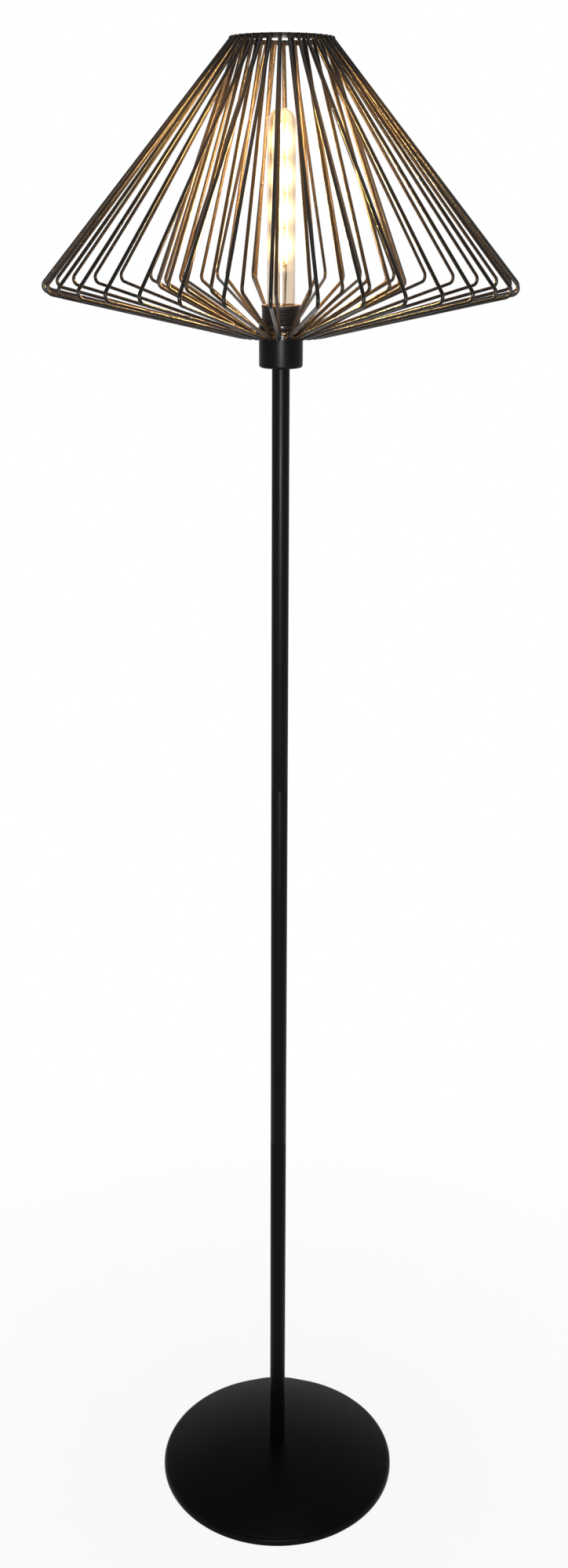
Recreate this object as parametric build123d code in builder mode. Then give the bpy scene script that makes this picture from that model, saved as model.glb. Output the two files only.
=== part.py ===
from build123d import *
import math
import os

# Wire cage floor lamp. Sizes in millimetres, +Z up.
# The origin is on the floor, on the lamp's own axis. The front is -Y and the cord's bush is at the back.

# --- Base -------------------------------------------------------------------
base_diameter = 280.0
base_lip_height = 8.0           # floor to the sharp edge between lip and dome, before it is rounded
base_lip_lift = 0.6             # the lip's lower edge stays this far off the floor
base_lip_bevel = 2.2
base_crown_height = 30.0        # floor to the flat land that carries the pole
base_land_radius = 12.0
base_cover_wall = 1.2
cover_inside_steps = 4          # straight steps that follow the dome on its hidden inner side
pad_thickness = 2.0
pad_inset = 5.0                 # how far the pad stays inside the weight's edge
weight_thickness = 14.0
weight_rim_thickness = 3.0      # the thinner outer part of the weight, under the low edge of the dome
weight_side_gap = 0.5           # between the weight and the lip
weight_top_gap = 1.0            # between the weight and the dome above it
weight_boss_radius = 11.0
weight_recess_radius = 15.0
weight_recess_depth = 9.0
cord_bush_radius = 2.9          # of the notch in the lip that holds the bush
cord_bush_height = 3.3          # floor to the axis of the cord's bush
cord_hole_radius = 2.4
bush_flange_width = 1.2
bush_flange_thickness = 1.4
bush_clearance = 0.15
bush_inner_gap = 0.8            # between the inner flange and the lip, whose top curves inwards
cord_channel_clearance = 0.3

# --- Pole -------------------------------------------------------------------
tube_diameter = 18.0
tube_wall = 1.2
lower_tube_length = 423.0
middle_tube_length = 437.0
upper_tube_length = 451.0
seam_chamfer = 0.3              # broken edge at each end of a tube, which shows as a fine seam
bush_length = 13.5              # threaded bush pressed into each end of a tube
bush_setback = 0.5              # from the tube's end to the bush's end
press_clearance = 0.02
stud_radius = 5.0
stud_bore_radius = 3.5
stud_clearance = 0.05
joint_stud_length = 26.0
nut_across_flats = 17.0
foot_nut_thickness = 4.0
foot_washer_radius = 12.5
foot_washer_thickness = 1.5

# --- Lampholder and its cup ---------------------------------------------------
cup_diameter = 44.0
cup_height = 33.6
cup_wall = 1.5
cup_edge_bevel = 1.6
cup_nut_thickness = 3.0
holder_height = 57.0
holder_cap_height = 16.0        # the part of the cap below the skirt
holder_cap_radius = 19.2
holder_cap_floor = 4.0
holder_spigot_height = 8.0
holder_spigot_radius = 17.4
holder_spigot_wall = 2.0
holder_ledge_height = 10.5      # cap's lower edge to the ledge that carries the contact block
holder_ledge_bore = 12.0
skirt_radius = 19.5             # over the crests of the shade ring's thread
skirt_wall = 1.9
skirt_mouth_radius = 14.6
skirt_mouth_thickness = 3.0
skirt_mouth_bevel = 1.0
holder_fit = 0.2
block_thickness = 6.0
screw_shell_radius = 14.3
screw_shell_wall = 0.5
screw_shell_height = 32.0
contact_width = 5.0
contact_thickness = 0.6
terminal_screw_radius = 1.5
terminal_head_radius = 2.6
terminal_head_height = 2.4
terminal_spacing = 14.0

# --- Shade ring ---------------------------------------------------------------
shade_ring_radius = 22.0
shade_ring_height = 7.0
shade_ring_clearance = 0.3
shade_ring_bevel = 0.7

# --- Cage ---------------------------------------------------------------------
hub_radius = 30.0
hub_flange_height = 6.6
hub_plate_thickness = 2.0
hub_hole_clearance = 0.7        # around the lampholder's skirt
cage_height = 280.0             # hub's lower edge to the upper edge of the top ring
top_ring_radius = 47.0
top_ring_height = 5.0
top_ring_thickness = 2.0
wire_diameter = 3.5
wire_sides = 8
wire_phase = -2.2               # degrees, from the front towards +X
outer_wire_count = 36
outer_end_length = 2.5          # an outer wire's upper end stands upright along the ring
outer_corner_radius = 238.2     # where the two legs of an outer wire would meet without the bend
outer_corner_rise = 47.8        # the same corner, above the hub's lower edge
outer_bend_radius = 6.5
outer_foot_radius = 45.0        # inside this radius an outer wire runs level to the hub
inner_wire_count = 24
inner_end_length = 5.2          # just past the ring's lower edge
inner_corner_radius = 123.2
inner_corner_rise = 52.0
inner_bend_radius = 6.0
inner_foot_radius = 36.0
foot_row_lift = 0.8             # hub's lower edge to the lower row of wire ends
foot_row_gap = 0.15             # between that row and the one above it

# --- Bulb ---------------------------------------------------------------------
bulb_radius = 14.0
bulb_stands_above_holder = 184.0
bulb_wall = 0.8
bulb_dome_steps = 3             # straight steps round the glass dome, from the tube to the top
bulb_neck_radius = 12.4
bulb_shoulder_depth = 3.0       # holder's mouth down to where the tube starts to narrow
bulb_neck_depth = 8.0           # holder's mouth down to the top of the metal cap
bulb_cap_radius = 13.2
bulb_cap_wall = 0.5
bulb_cap_height = 22.0
bulb_insulator_height = 3.4
bulb_tip_radius = 4.6
bulb_tip_height = 1.1
stem_foot_radius = 11.2         # the foot of the stem fills the glass neck
stem_foot_height = 7.0
stem_radius = 3.2
stem_top_above_holder = 36.0
filament_tiers = 4
filaments_per_tier = 4
filament_width = 1.8
filament_length = 31.0
filament_circle_radius = 5.2
filament_base_above_holder = 40.0
filament_tier_gap = 2.0
filament_post_radius = 0.6

# --- Heights and radii that follow ----------------------------------------------
base_radius = base_diameter / 2
tube_radius = tube_diameter / 2
tube_bore = tube_radius - tube_wall
cup_radius = cup_diameter / 2
wire_radius = wire_diameter / 2

pole_foot = base_crown_height
lower_joint = pole_foot + lower_tube_length
upper_joint = lower_joint + middle_tube_length
pole_top = upper_joint + upper_tube_length
cup_floor = pole_top + cup_wall
cup_top = pole_top + cup_height
holder_bottom = cup_floor + cup_nut_thickness
holder_top = holder_bottom + holder_height
skirt_bottom = holder_bottom + holder_cap_height
block_bottom = holder_bottom + holder_ledge_height
block_top = block_bottom + block_thickness
plate_top = cup_top + hub_plate_thickness
hub_bottom = plate_top - hub_flange_height
cage_top = hub_bottom + cage_height
skirt_bore = skirt_radius - skirt_wall
stud_outer = stud_radius - stud_clearance

# The dome is a piece of a sphere centred on the lamp's axis, through the edge of the lip and of the land.
dome_centre = (base_radius**2 + base_lip_height**2 - base_land_radius**2 - base_crown_height**2) / (
    2 * (base_lip_height - base_crown_height)
)
dome_radius = math.hypot(base_radius, base_lip_height - dome_centre)


def sphere_height(sphere_radius, radius):
    """Height of a sphere about the dome's centre, at a distance from the lamp's axis."""
    return dome_centre + math.sqrt(sphere_radius**2 - radius**2)


def sphere_reach(sphere_radius, height):
    """Distance from the lamp's axis at which such a sphere has a given height."""
    return math.sqrt(sphere_radius**2 - (height - dome_centre) ** 2)


def plain_ring(outer_radius, inner_radius, bottom, height):
    """A flat-ended ring about the lamp's axis."""
    with BuildPart() as ring:
        with BuildSketch(Plane.XY.offset(bottom)):
            Circle(outer_radius)
            Circle(inner_radius, mode=Mode.SUBTRACT)
        extrude(amount=height)
    return ring.part


def turned(points):
    """A solid turned about the lamp's axis from a closed outline of (radius, height) points."""
    with BuildPart() as lathe:
        with BuildSketch(Plane.XZ):
            with BuildLine():
                Polyline(*points, close=True)
            make_face()
        revolve(axis=Axis.Z)
    return lathe.part


def hex_nut(bottom, thickness):
    """A hexagon nut on a stud."""
    with BuildPart() as nut:
        with BuildSketch(Plane.XY.offset(bottom)):
            RegularPolygon(nut_across_flats / 2, 6, major_radius=False)
            Circle(stud_radius, mode=Mode.SUBTRACT)
        extrude(amount=thickness)
    return nut.part


def pole_tube(bottom, length):
    """One section of the pole, with the edges of its two ends broken."""
    with BuildPart() as tube:
        with BuildSketch(Plane.XY.offset(bottom)):
            Circle(tube_radius)
            Circle(tube_bore, mode=Mode.SUBTRACT)
        extrude(amount=length)
        outer_ends = tube.edges().filter_by(GeomType.CIRCLE).group_by(SortBy.RADIUS)[-1]
        chamfer(outer_ends, seam_chamfer)
    return tube.part


def bent_wire(top, end_length, corner, bend_radius, foot, end_radius):
    """One wire in the XZ plane, given as (radius, height) points from the ring, over the corner, to the hub.

    The wire stands upright along the ring above its top point, for the end length. The corner is eased: the
    wire leaves each leg where a bend of that radius would touch it, and crosses the bend over its middle.
    """
    top_point = Vector(*top)
    corner_point = Vector(*corner)
    foot_point = Vector(*foot)
    down = (corner_point - top_point).normalized()
    back = (foot_point - corner_point).normalized()
    half_turn = math.radians(down.get_angle(back)) / 2
    tangent = bend_radius * math.tan(half_turn)
    inward = (back - down).normalized()
    bend_middle = corner_point + inward * (bend_radius / math.cos(half_turn) - bend_radius)
    route = [
        top_point + Vector(0, end_length),
        top_point,
        corner_point - down * tangent,
        bend_middle,
        corner_point + back * tangent,
        foot_point,
        Vector(end_radius, foot_point.Y),
    ]
    with BuildPart() as wire:
        with BuildLine(Plane.XZ) as run:
            Polyline(*[(point.X, point.Y) for point in route])
        with BuildSketch(Plane(origin=run.line @ 0, z_dir=run.line % 0)):
            RegularPolygon(wire_radius, wire_sides)
        sweep(path=run.line, transition=Transition.RIGHT)
    return wire.part


os.makedirs("parts", exist_ok=True)

# --- Base -------------------------------------------------------------------
cover_bore = base_radius - base_cover_wall
inner_sphere = dome_radius - base_cover_wall
inside_start = cover_bore - base_lip_bevel
inside_radii = [
    inside_start + (base_land_radius - inside_start) * step / cover_inside_steps
    for step in range(cover_inside_steps)
]
with BuildPart() as base_cover:
    middle_radius = (base_radius + base_land_radius) / 2
    with BuildSketch(Plane.XZ) as cover_outline:
        with BuildLine():
            Line((base_radius, base_lip_lift), (base_radius, base_lip_height))
            ThreePointArc(
                (base_radius, base_lip_height),
                (middle_radius, sphere_height(dome_radius, middle_radius)),
                (base_land_radius, base_crown_height),
            )
            Polyline(
                (base_land_radius, base_crown_height),
                (stud_radius, base_crown_height),
                (stud_radius, base_crown_height - base_cover_wall),
                (base_land_radius, base_crown_height - base_cover_wall),
                *[(radius, sphere_height(inner_sphere, radius)) for radius in reversed(inside_radii)],
                (cover_bore, base_lip_height - base_lip_bevel),
                (cover_bore, base_lip_lift),
                (base_radius, base_lip_lift),
            )
        make_face()
        lip_edge = cover_outline.vertices().group_by(Axis.X)[-1].sort_by(Axis.Y)[-1]
        chamfer(lip_edge, base_lip_bevel)
    revolve(axis=Axis.Z)
    with BuildSketch(Plane.XZ.offset(-base_radius - bush_flange_thickness)):
        with Locations((0, cord_bush_height)):
            Circle(cord_bush_radius)
        with Locations((0, cord_bush_height / 2)):
            Rectangle(2 * cord_bush_radius, cord_bush_height)
    extrude(amount=2 * bush_flange_thickness + base_cover_wall + base_lip_bevel, mode=Mode.SUBTRACT)
base_cover.part.label = "base_cover"
export_step(base_cover.part, "parts/base_cover.step")

weight_radius = base_radius - base_cover_wall - weight_side_gap
weight_top = pad_thickness + weight_thickness
weight_sphere = dome_radius - base_cover_wall - weight_top_gap
weight_shoulder_radius = sphere_reach(weight_sphere, weight_top)
weight_rim_top = pad_thickness + weight_rim_thickness
recess_top = pad_thickness + weight_recess_depth
with BuildPart() as base_weight:
    with BuildSketch(Plane.XZ):
        with BuildLine():
            Polyline(
                (stud_radius, pad_thickness),
                (weight_radius, pad_thickness),
                (weight_radius, weight_rim_top),
                (weight_shoulder_radius, weight_rim_top),
                (weight_shoulder_radius, weight_top),
                (weight_boss_radius, weight_top),
                (weight_boss_radius, base_crown_height - base_cover_wall),
                (stud_radius, base_crown_height - base_cover_wall),
                close=True,
            )
        make_face()
    revolve(axis=Axis.Z)
    with BuildSketch(Plane.XY.offset(pad_thickness)):
        Circle(weight_recess_radius)
    extrude(amount=weight_recess_depth, mode=Mode.SUBTRACT)
    channel_half_width = cord_bush_radius + bush_flange_width + cord_channel_clearance
    channel_height = cord_bush_height + channel_half_width - pad_thickness
    with BuildSketch(Plane.XY.offset(pad_thickness)):
        with Locations((0, weight_radius / 2)):
            Rectangle(2 * channel_half_width, weight_radius)
    extrude(amount=channel_height, mode=Mode.SUBTRACT)
base_weight.part.label = "base_weight"
export_step(base_weight.part, "parts/base_weight.step")

with BuildPart() as base_pad:
    with BuildSketch():
        Circle(weight_radius - pad_inset)
    extrude(amount=pad_thickness)
base_pad.part.label = "base_pad"
export_step(base_pad.part, "parts/base_pad.step")

bush_body_radius = cord_bush_radius - bush_clearance
bush_flange_radius = cord_bush_radius + bush_flange_width
lip_inside = math.sqrt((base_radius - base_cover_wall) ** 2 - bush_flange_radius**2)
bush_outer_face = base_radius + bush_clearance + bush_flange_thickness
bush_inner_face = lip_inside - bush_inner_gap - bush_flange_thickness
with BuildPart() as cord_bush:
    with BuildSketch(Plane.XZ.offset(-bush_inner_face)):
        with Locations((0, cord_bush_height)):
            Circle(bush_body_radius)
    extrude(amount=bush_inner_face - bush_outer_face)
    with BuildSketch(Plane.XZ.offset(-bush_inner_face)):
        with Locations((0, cord_bush_height)):
            Rectangle(2 * bush_flange_radius, 2 * cord_bush_radius)
    extrude(amount=-bush_flange_thickness)
    with BuildSketch(Plane.XZ.offset(-bush_outer_face)):
        with Locations((0, cord_bush_height)):
            Rectangle(2 * bush_flange_radius, 2 * cord_bush_radius)
    extrude(amount=bush_flange_thickness)
    with Locations(Location((0, bush_outer_face, cord_bush_height), (-90, 0, 0))):
        Hole(cord_hole_radius)
cord_bush.part.label = "cord_bush"
export_step(cord_bush.part, "parts/cord_bush.step")

foot_washer_bottom = recess_top - foot_washer_thickness
foot_nut_bottom = foot_washer_bottom - foot_nut_thickness
foot_stud_bottom = foot_nut_bottom - foot_washer_thickness
with BuildPart() as foot_stud:
    add(plain_ring(stud_outer, stud_bore_radius, foot_stud_bottom, pole_foot + bush_length - foot_stud_bottom))
foot_stud.part.label = "foot_stud"
export_step(foot_stud.part, "parts/foot_stud.step")

with BuildPart() as foot_washer:
    add(plain_ring(foot_washer_radius, stud_radius, foot_washer_bottom, foot_washer_thickness))
foot_washer.part.label = "foot_washer"
export_step(foot_washer.part, "parts/foot_washer.step")

with BuildPart() as foot_nut:
    add(hex_nut(foot_nut_bottom, foot_nut_thickness))
foot_nut.part.label = "foot_nut"
export_step(foot_nut.part, "parts/foot_nut.step")

# --- Pole -------------------------------------------------------------------
tubes = {
    "lower_tube": (pole_foot, lower_tube_length),
    "middle_tube": (lower_joint, middle_tube_length),
    "upper_tube": (upper_joint, upper_tube_length),
}
for tube_name, (tube_bottom, tube_length) in tubes.items():
    with BuildPart() as pole_section:
        add(pole_tube(tube_bottom, tube_length))
    pole_section.part.label = tube_name
    export_step(pole_section.part, f"parts/{tube_name}.step")

with BuildPart() as tube_bushes:
    for tube_bottom, tube_length in tubes.values():
        first_bush = tube_bottom + bush_setback
        last_bush = tube_bottom + tube_length - bush_setback - bush_length
        for bush_bottom in (first_bush, last_bush):
            add(plain_ring(tube_bore - press_clearance, stud_radius, bush_bottom, bush_length))
tube_bushes.part.label = "tube_bushes"
export_step(tube_bushes.part, "parts/tube_bushes.step")

with BuildPart() as joint_studs:
    for joint_height in (lower_joint, upper_joint):
        stud_bottom = joint_height - joint_stud_length / 2
        add(plain_ring(stud_outer, stud_bore_radius, stud_bottom, joint_stud_length))
joint_studs.part.label = "joint_studs"
export_step(joint_studs.part, "parts/joint_studs.step")

# --- Lampholder and its cup ---------------------------------------------------
with BuildPart() as holder_cup:
    with BuildSketch(Plane.XY.offset(pole_top)):
        Circle(cup_radius)
    extrude(amount=cup_height)
    chamfer(holder_cup.edges().sort_by(Axis.Z)[0], cup_edge_bevel)
    with BuildSketch(Plane.XY.offset(cup_floor)):
        Circle(cup_radius - cup_wall)
    extrude(amount=cup_height, mode=Mode.SUBTRACT)
    with Locations((0, 0, cup_top)):
        Hole(stud_radius)
holder_cup.part.label = "holder_cup"
export_step(holder_cup.part, "parts/holder_cup.step")

nipple_bottom = pole_top - bush_length
nipple_length = holder_bottom + holder_cap_floor - nipple_bottom
with BuildPart() as holder_nipple:
    add(plain_ring(stud_outer, stud_bore_radius, nipple_bottom, nipple_length))
holder_nipple.part.label = "holder_nipple"
export_step(holder_nipple.part, "parts/holder_nipple.step")

with BuildPart() as cup_nut:
    add(hex_nut(cup_floor, cup_nut_thickness))
cup_nut.part.label = "cup_nut"
export_step(cup_nut.part, "parts/cup_nut.step")

spigot_bore = holder_spigot_radius - holder_spigot_wall
with BuildPart() as lampholder_cap:
    add(
        turned(
            [
                (stud_radius, holder_bottom),
                (holder_cap_radius, holder_bottom),
                (holder_cap_radius, skirt_bottom),
                (holder_spigot_radius, skirt_bottom),
                (holder_spigot_radius, skirt_bottom + holder_spigot_height),
                (spigot_bore, skirt_bottom + holder_spigot_height),
                (spigot_bore, block_bottom),
                (holder_ledge_bore, block_bottom),
                (holder_ledge_bore, holder_bottom + holder_cap_floor),
                (stud_radius, holder_bottom + holder_cap_floor),
            ]
        )
    )
lampholder_cap.part.label = "lampholder_cap"
export_step(lampholder_cap.part, "parts/lampholder_cap.step")

with BuildPart() as lampholder_skirt:
    add(plain_ring(skirt_radius, skirt_bore, skirt_bottom, holder_top - skirt_bottom))
    add(plain_ring(skirt_bore, skirt_mouth_radius, holder_top - skirt_mouth_thickness, skirt_mouth_thickness))
    skirt_rims = lampholder_skirt.edges().filter_by(GeomType.CIRCLE).group_by(SortBy.RADIUS)[-1]
    chamfer(skirt_rims.sort_by(Axis.Z)[-1], skirt_mouth_bevel)
lampholder_skirt.part.label = "lampholder_skirt"
export_step(lampholder_skirt.part, "parts/lampholder_skirt.step")

with BuildPart() as contact_block:
    with BuildSketch(Plane.XY.offset(block_bottom)):
        Circle(spigot_bore - holder_fit)
        with GridLocations(terminal_spacing, 0, 2, 1):
            Circle(terminal_screw_radius + stud_clearance, mode=Mode.SUBTRACT)
    extrude(amount=block_thickness)
contact_block.part.label = "contact_block"
export_step(contact_block.part, "parts/contact_block.step")

with BuildPart() as terminal_screws:
    with GridLocations(terminal_spacing, 0, 2, 1):
        with Locations((0, 0, block_bottom)):
            Cylinder(terminal_screw_radius, block_thickness / 2, align=(Align.CENTER, Align.CENTER, Align.MIN))
            Cylinder(
                terminal_head_radius, terminal_head_height, align=(Align.CENTER, Align.CENTER, Align.MAX)
            )
terminal_screws.part.label = "terminal_screws"
export_step(terminal_screws.part, "parts/terminal_screws.step")

shell_bore = screw_shell_radius - screw_shell_wall
with BuildPart() as screw_shell:
    add(plain_ring(screw_shell_radius, shell_bore, block_top, screw_shell_height))
screw_shell.part.label = "screw_shell"
export_step(screw_shell.part, "parts/screw_shell.step")

# --- Bulb heights, which the contacts follow ------------------------------------
bulb_cap_top = holder_top - bulb_neck_depth
bulb_cap_bottom = bulb_cap_top - bulb_cap_height
insulator_bottom = bulb_cap_bottom - bulb_insulator_height
tip_bottom = insulator_bottom - bulb_tip_height
bulb_top = holder_top + bulb_stands_above_holder
bulb_shoulder = holder_top - bulb_shoulder_depth

with BuildPart() as centre_contact:
    with BuildSketch(Plane.XZ.offset(-contact_width / 2)):
        with BuildLine():
            Polyline(
                (-bulb_tip_radius - contact_width, block_top),
                (-bulb_tip_radius / 2, block_top),
                (-bulb_tip_radius / 2, block_top + contact_thickness),
                (-bulb_tip_radius - contact_thickness, block_top + contact_thickness),
                (-bulb_tip_radius / 2, tip_bottom - contact_thickness),
                (bulb_tip_radius / 2, tip_bottom - contact_thickness),
                (bulb_tip_radius / 2, tip_bottom),
                (-bulb_tip_radius / 2 - contact_thickness, tip_bottom),
                (-bulb_tip_radius - 3 * contact_thickness, block_top + contact_thickness),
                (-bulb_tip_radius - contact_width, block_top + contact_thickness),
                close=True,
            )
        make_face()
    extrude(amount=contact_width)
centre_contact.part.label = "centre_contact"
export_step(centre_contact.part, "parts/centre_contact.step")

side_contact_face = math.sqrt(shell_bore**2 - (contact_width / 2) ** 2)
with BuildPart() as side_contact:
    with BuildSketch(Plane.XZ.offset(-contact_width / 2)):
        with BuildLine():
            Polyline(
                (side_contact_face, block_top),
                (side_contact_face, bulb_cap_bottom - contact_thickness),
                (side_contact_face - contact_thickness, bulb_cap_bottom - contact_thickness),
                (side_contact_face - contact_thickness, block_top + contact_thickness),
                (side_contact_face - contact_width, block_top + contact_thickness),
                (side_contact_face - contact_width, block_top),
                close=True,
            )
        make_face()
    extrude(amount=contact_width)
side_contact.part.label = "side_contact"
export_step(side_contact.part, "parts/side_contact.step")

# --- Shade ring -----------------------------------------------------------------
with BuildPart() as shade_ring:
    add(plain_ring(shade_ring_radius, skirt_radius + shade_ring_clearance, plate_top, shade_ring_height))
    ring_rims = shade_ring.edges().filter_by(GeomType.CIRCLE).group_by(SortBy.RADIUS)[-1]
    chamfer(ring_rims.sort_by(Axis.Z)[-1], shade_ring_bevel)
shade_ring.part.label = "shade_ring"
export_step(shade_ring.part, "parts/shade_ring.step")

# --- Cage -----------------------------------------------------------------------
hub_hole_radius = skirt_radius + hub_hole_clearance
with BuildPart() as hub_plate:
    add(
        turned(
            [
                (hub_hole_radius, cup_top),
                (hub_radius - hub_plate_thickness, cup_top),
                (hub_radius - hub_plate_thickness, hub_bottom),
                (hub_radius, hub_bottom),
                (hub_radius, plate_top),
                (hub_hole_radius, plate_top),
            ]
        )
    )
hub_plate.part.label = "hub_plate"
export_step(hub_plate.part, "parts/hub_plate.step")

ring_bottom = cage_top - top_ring_height
with BuildPart() as top_ring:
    add(plain_ring(top_ring_radius, top_ring_radius - top_ring_thickness, ring_bottom, top_ring_height))
top_ring.part.label = "top_ring"
export_step(top_ring.part, "parts/top_ring.step")

# The outer wires stand against the outside of the ring and end in the lower row on the hub's flange.
# The inner wires stand against the inside of the ring and end in the row above.
lower_row = hub_bottom + foot_row_lift + wire_radius
upper_row = lower_row + wire_diameter + foot_row_gap
first_wire_angle = wire_phase - 90
outer_wire = bent_wire(
    (top_ring_radius + wire_radius, cage_top - outer_end_length),
    outer_end_length,
    (outer_corner_radius, hub_bottom + outer_corner_rise),
    outer_bend_radius,
    (outer_foot_radius, lower_row),
    hub_radius,
)
inner_wire = bent_wire(
    (top_ring_radius - top_ring_thickness - wire_radius, cage_top - inner_end_length),
    inner_end_length,
    (inner_corner_radius, hub_bottom + inner_corner_rise),
    inner_bend_radius,
    (inner_foot_radius, upper_row),
    hub_radius,
)
with BuildPart() as outer_wires:
    with PolarLocations(0, outer_wire_count, start_angle=first_wire_angle):
        add(outer_wire)
outer_wires.part.label = "outer_wires"
export_step(outer_wires.part, "parts/outer_wires.step")

with BuildPart() as inner_wires:
    with PolarLocations(0, inner_wire_count, start_angle=first_wire_angle):
        add(inner_wire)
inner_wires.part.label = "inner_wires"
export_step(inner_wires.part, "parts/inner_wires.step")

# --- Bulb -----------------------------------------------------------------------
bulb_bore = bulb_radius - bulb_wall
neck_bore = bulb_neck_radius - bulb_wall
glass_dome_foot = bulb_top - bulb_radius
neck_bottom = bulb_cap_top - bulb_shoulder_depth
dome_angles = [math.radians(90 * step / bulb_dome_steps) for step in range(bulb_dome_steps + 1)]


def glass_dome(radius):
    """Outline points of a half sphere of glass, from the top of the tube to the top of the bulb."""
    return [(radius * math.cos(a), glass_dome_foot + radius * math.sin(a)) for a in dome_angles]


with BuildPart() as bulb_glass:
    add(
        turned(
            [
                (neck_bore, neck_bottom),
                (bulb_neck_radius, neck_bottom),
                (bulb_neck_radius, bulb_cap_top),
                (bulb_radius, bulb_shoulder),
                *glass_dome(bulb_radius),
                *reversed(glass_dome(bulb_bore)),
                (bulb_bore, bulb_shoulder),
                (neck_bore, bulb_cap_top),
            ]
        )
    )
bulb_glass.part.label = "bulb_glass"
export_step(bulb_glass.part, "parts/bulb_glass.step")

cap_bore = bulb_cap_radius - bulb_cap_wall
with BuildPart() as bulb_cap:
    add(plain_ring(bulb_cap_radius, cap_bore, bulb_cap_bottom, bulb_cap_height))
    add(plain_ring(cap_bore, 2 * bulb_tip_radius, bulb_cap_bottom, bulb_cap_wall))
bulb_cap.part.label = "bulb_cap"
export_step(bulb_cap.part, "parts/bulb_cap.step")

with BuildPart() as bulb_insulator:
    add(
        turned(
            [
                (0, insulator_bottom),
                (2 * bulb_tip_radius, insulator_bottom),
                (2 * bulb_tip_radius, bulb_cap_bottom),
                (0, bulb_cap_bottom),
            ]
        )
    )
bulb_insulator.part.label = "bulb_insulator"
export_step(bulb_insulator.part, "parts/bulb_insulator.step")

with BuildPart() as bulb_tip:
    with BuildSketch(Plane.XY.offset(tip_bottom)):
        Circle(bulb_tip_radius)
    extrude(amount=bulb_tip_height)
bulb_tip.part.label = "bulb_tip"
export_step(bulb_tip.part, "parts/bulb_tip.step")

stem_top = holder_top + stem_top_above_holder
with BuildPart() as bulb_stem:
    add(
        turned(
            [
                (0, neck_bottom),
                (stem_foot_radius, neck_bottom),
                (stem_foot_radius, neck_bottom + stem_foot_height),
                (stem_radius, neck_bottom + stem_foot_height),
                (stem_radius, stem_top),
                (0, stem_top),
            ]
        )
    )
bulb_stem.part.label = "bulb_stem"
export_step(bulb_stem.part, "parts/bulb_stem.step")

tier_pitch = filament_length + filament_tier_gap
first_tier = holder_top + filament_base_above_holder
with BuildPart() as filaments:
    for tier in range(filament_tiers):
        tier_middle = first_tier + tier * tier_pitch + filament_length / 2
        with Locations((0, 0, tier_middle)):
            with PolarLocations(filament_circle_radius, filaments_per_tier):
                Box(filament_width, filament_width, filament_length)
filaments.part.label = "filaments"
export_step(filaments.part, "parts/filaments.step")

post_height = first_tier + filament_tiers * tier_pitch - stem_top
with BuildPart() as filament_frame:
    with Locations((0, 0, stem_top + post_height / 2)):
        Box(2 * filament_post_radius, 2 * filament_post_radius, post_height)
    for tier in range(filament_tiers + 1):
        with Locations((0, 0, first_tier + tier * tier_pitch - filament_tier_gap / 2)):
            Box(2 * filament_circle_radius, 2 * filament_post_radius, filament_tier_gap)
            Box(2 * filament_post_radius, 2 * filament_circle_radius, filament_tier_gap)
filament_frame.part.label = "filament_frame"
export_step(filament_frame.part, "parts/filament_frame.step")
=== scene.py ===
"""Surfaces, finishes, light and camera of a wire cage floor lamp, set round its fixed frame.

Lengths are metres in the lamp's own frame: the axis of the pole is +Z, the floor is z = 0, the front is -Y.
"""

import math

import bmesh
import bpy
import numpy as np
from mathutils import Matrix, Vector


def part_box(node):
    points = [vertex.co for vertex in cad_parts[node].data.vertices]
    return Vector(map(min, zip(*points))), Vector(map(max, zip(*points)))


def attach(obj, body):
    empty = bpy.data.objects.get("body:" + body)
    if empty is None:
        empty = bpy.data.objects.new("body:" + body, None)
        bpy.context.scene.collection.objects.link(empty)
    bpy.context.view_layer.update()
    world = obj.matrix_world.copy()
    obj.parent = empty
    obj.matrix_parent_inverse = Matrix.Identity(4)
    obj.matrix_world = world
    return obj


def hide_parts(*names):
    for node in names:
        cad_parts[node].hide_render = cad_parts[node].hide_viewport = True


bl_info = {
    "name": "Wire Cage Floor Lamp",
    "version": (1, 0, 0),
    "blender": (4, 5, 0),
    "location": "3D View > Sidebar > Floor Lamp",
    "description": "Builds the visible pieces, finishes, light and camera of a wire cage floor lamp",
    "category": "Add Mesh",
}

TURN = 2 * math.pi
WELD = 1e-6  # points closer than this are one point
SHARP_EDGE = math.radians(42)  # faces that meet at more than this shade as an edge
GLASS_INDEX = 1.46  # refraction of the bulb's glass
WHITE = (1.0, 1.0, 1.0, 1.0)
DUST = (0.10, 0.10, 0.10, 1.0)
RUST = (0.12, 0.045, 0.02, 1.0)
BROWN_SPECK = (0.38, 0.27, 0.17, 1.0)

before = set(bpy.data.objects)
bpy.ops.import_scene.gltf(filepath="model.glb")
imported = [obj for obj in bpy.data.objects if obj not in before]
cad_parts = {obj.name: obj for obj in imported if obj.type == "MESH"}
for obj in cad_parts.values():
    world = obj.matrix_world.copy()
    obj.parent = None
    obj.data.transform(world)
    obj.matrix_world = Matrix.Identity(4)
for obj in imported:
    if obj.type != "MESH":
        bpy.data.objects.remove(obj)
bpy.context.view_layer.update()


def reach(node):
    """The largest radius of a round node, its lowest height and its highest height."""
    low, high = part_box(node)
    return float(high[0]), float(low[2]), float(high[2])


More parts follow.
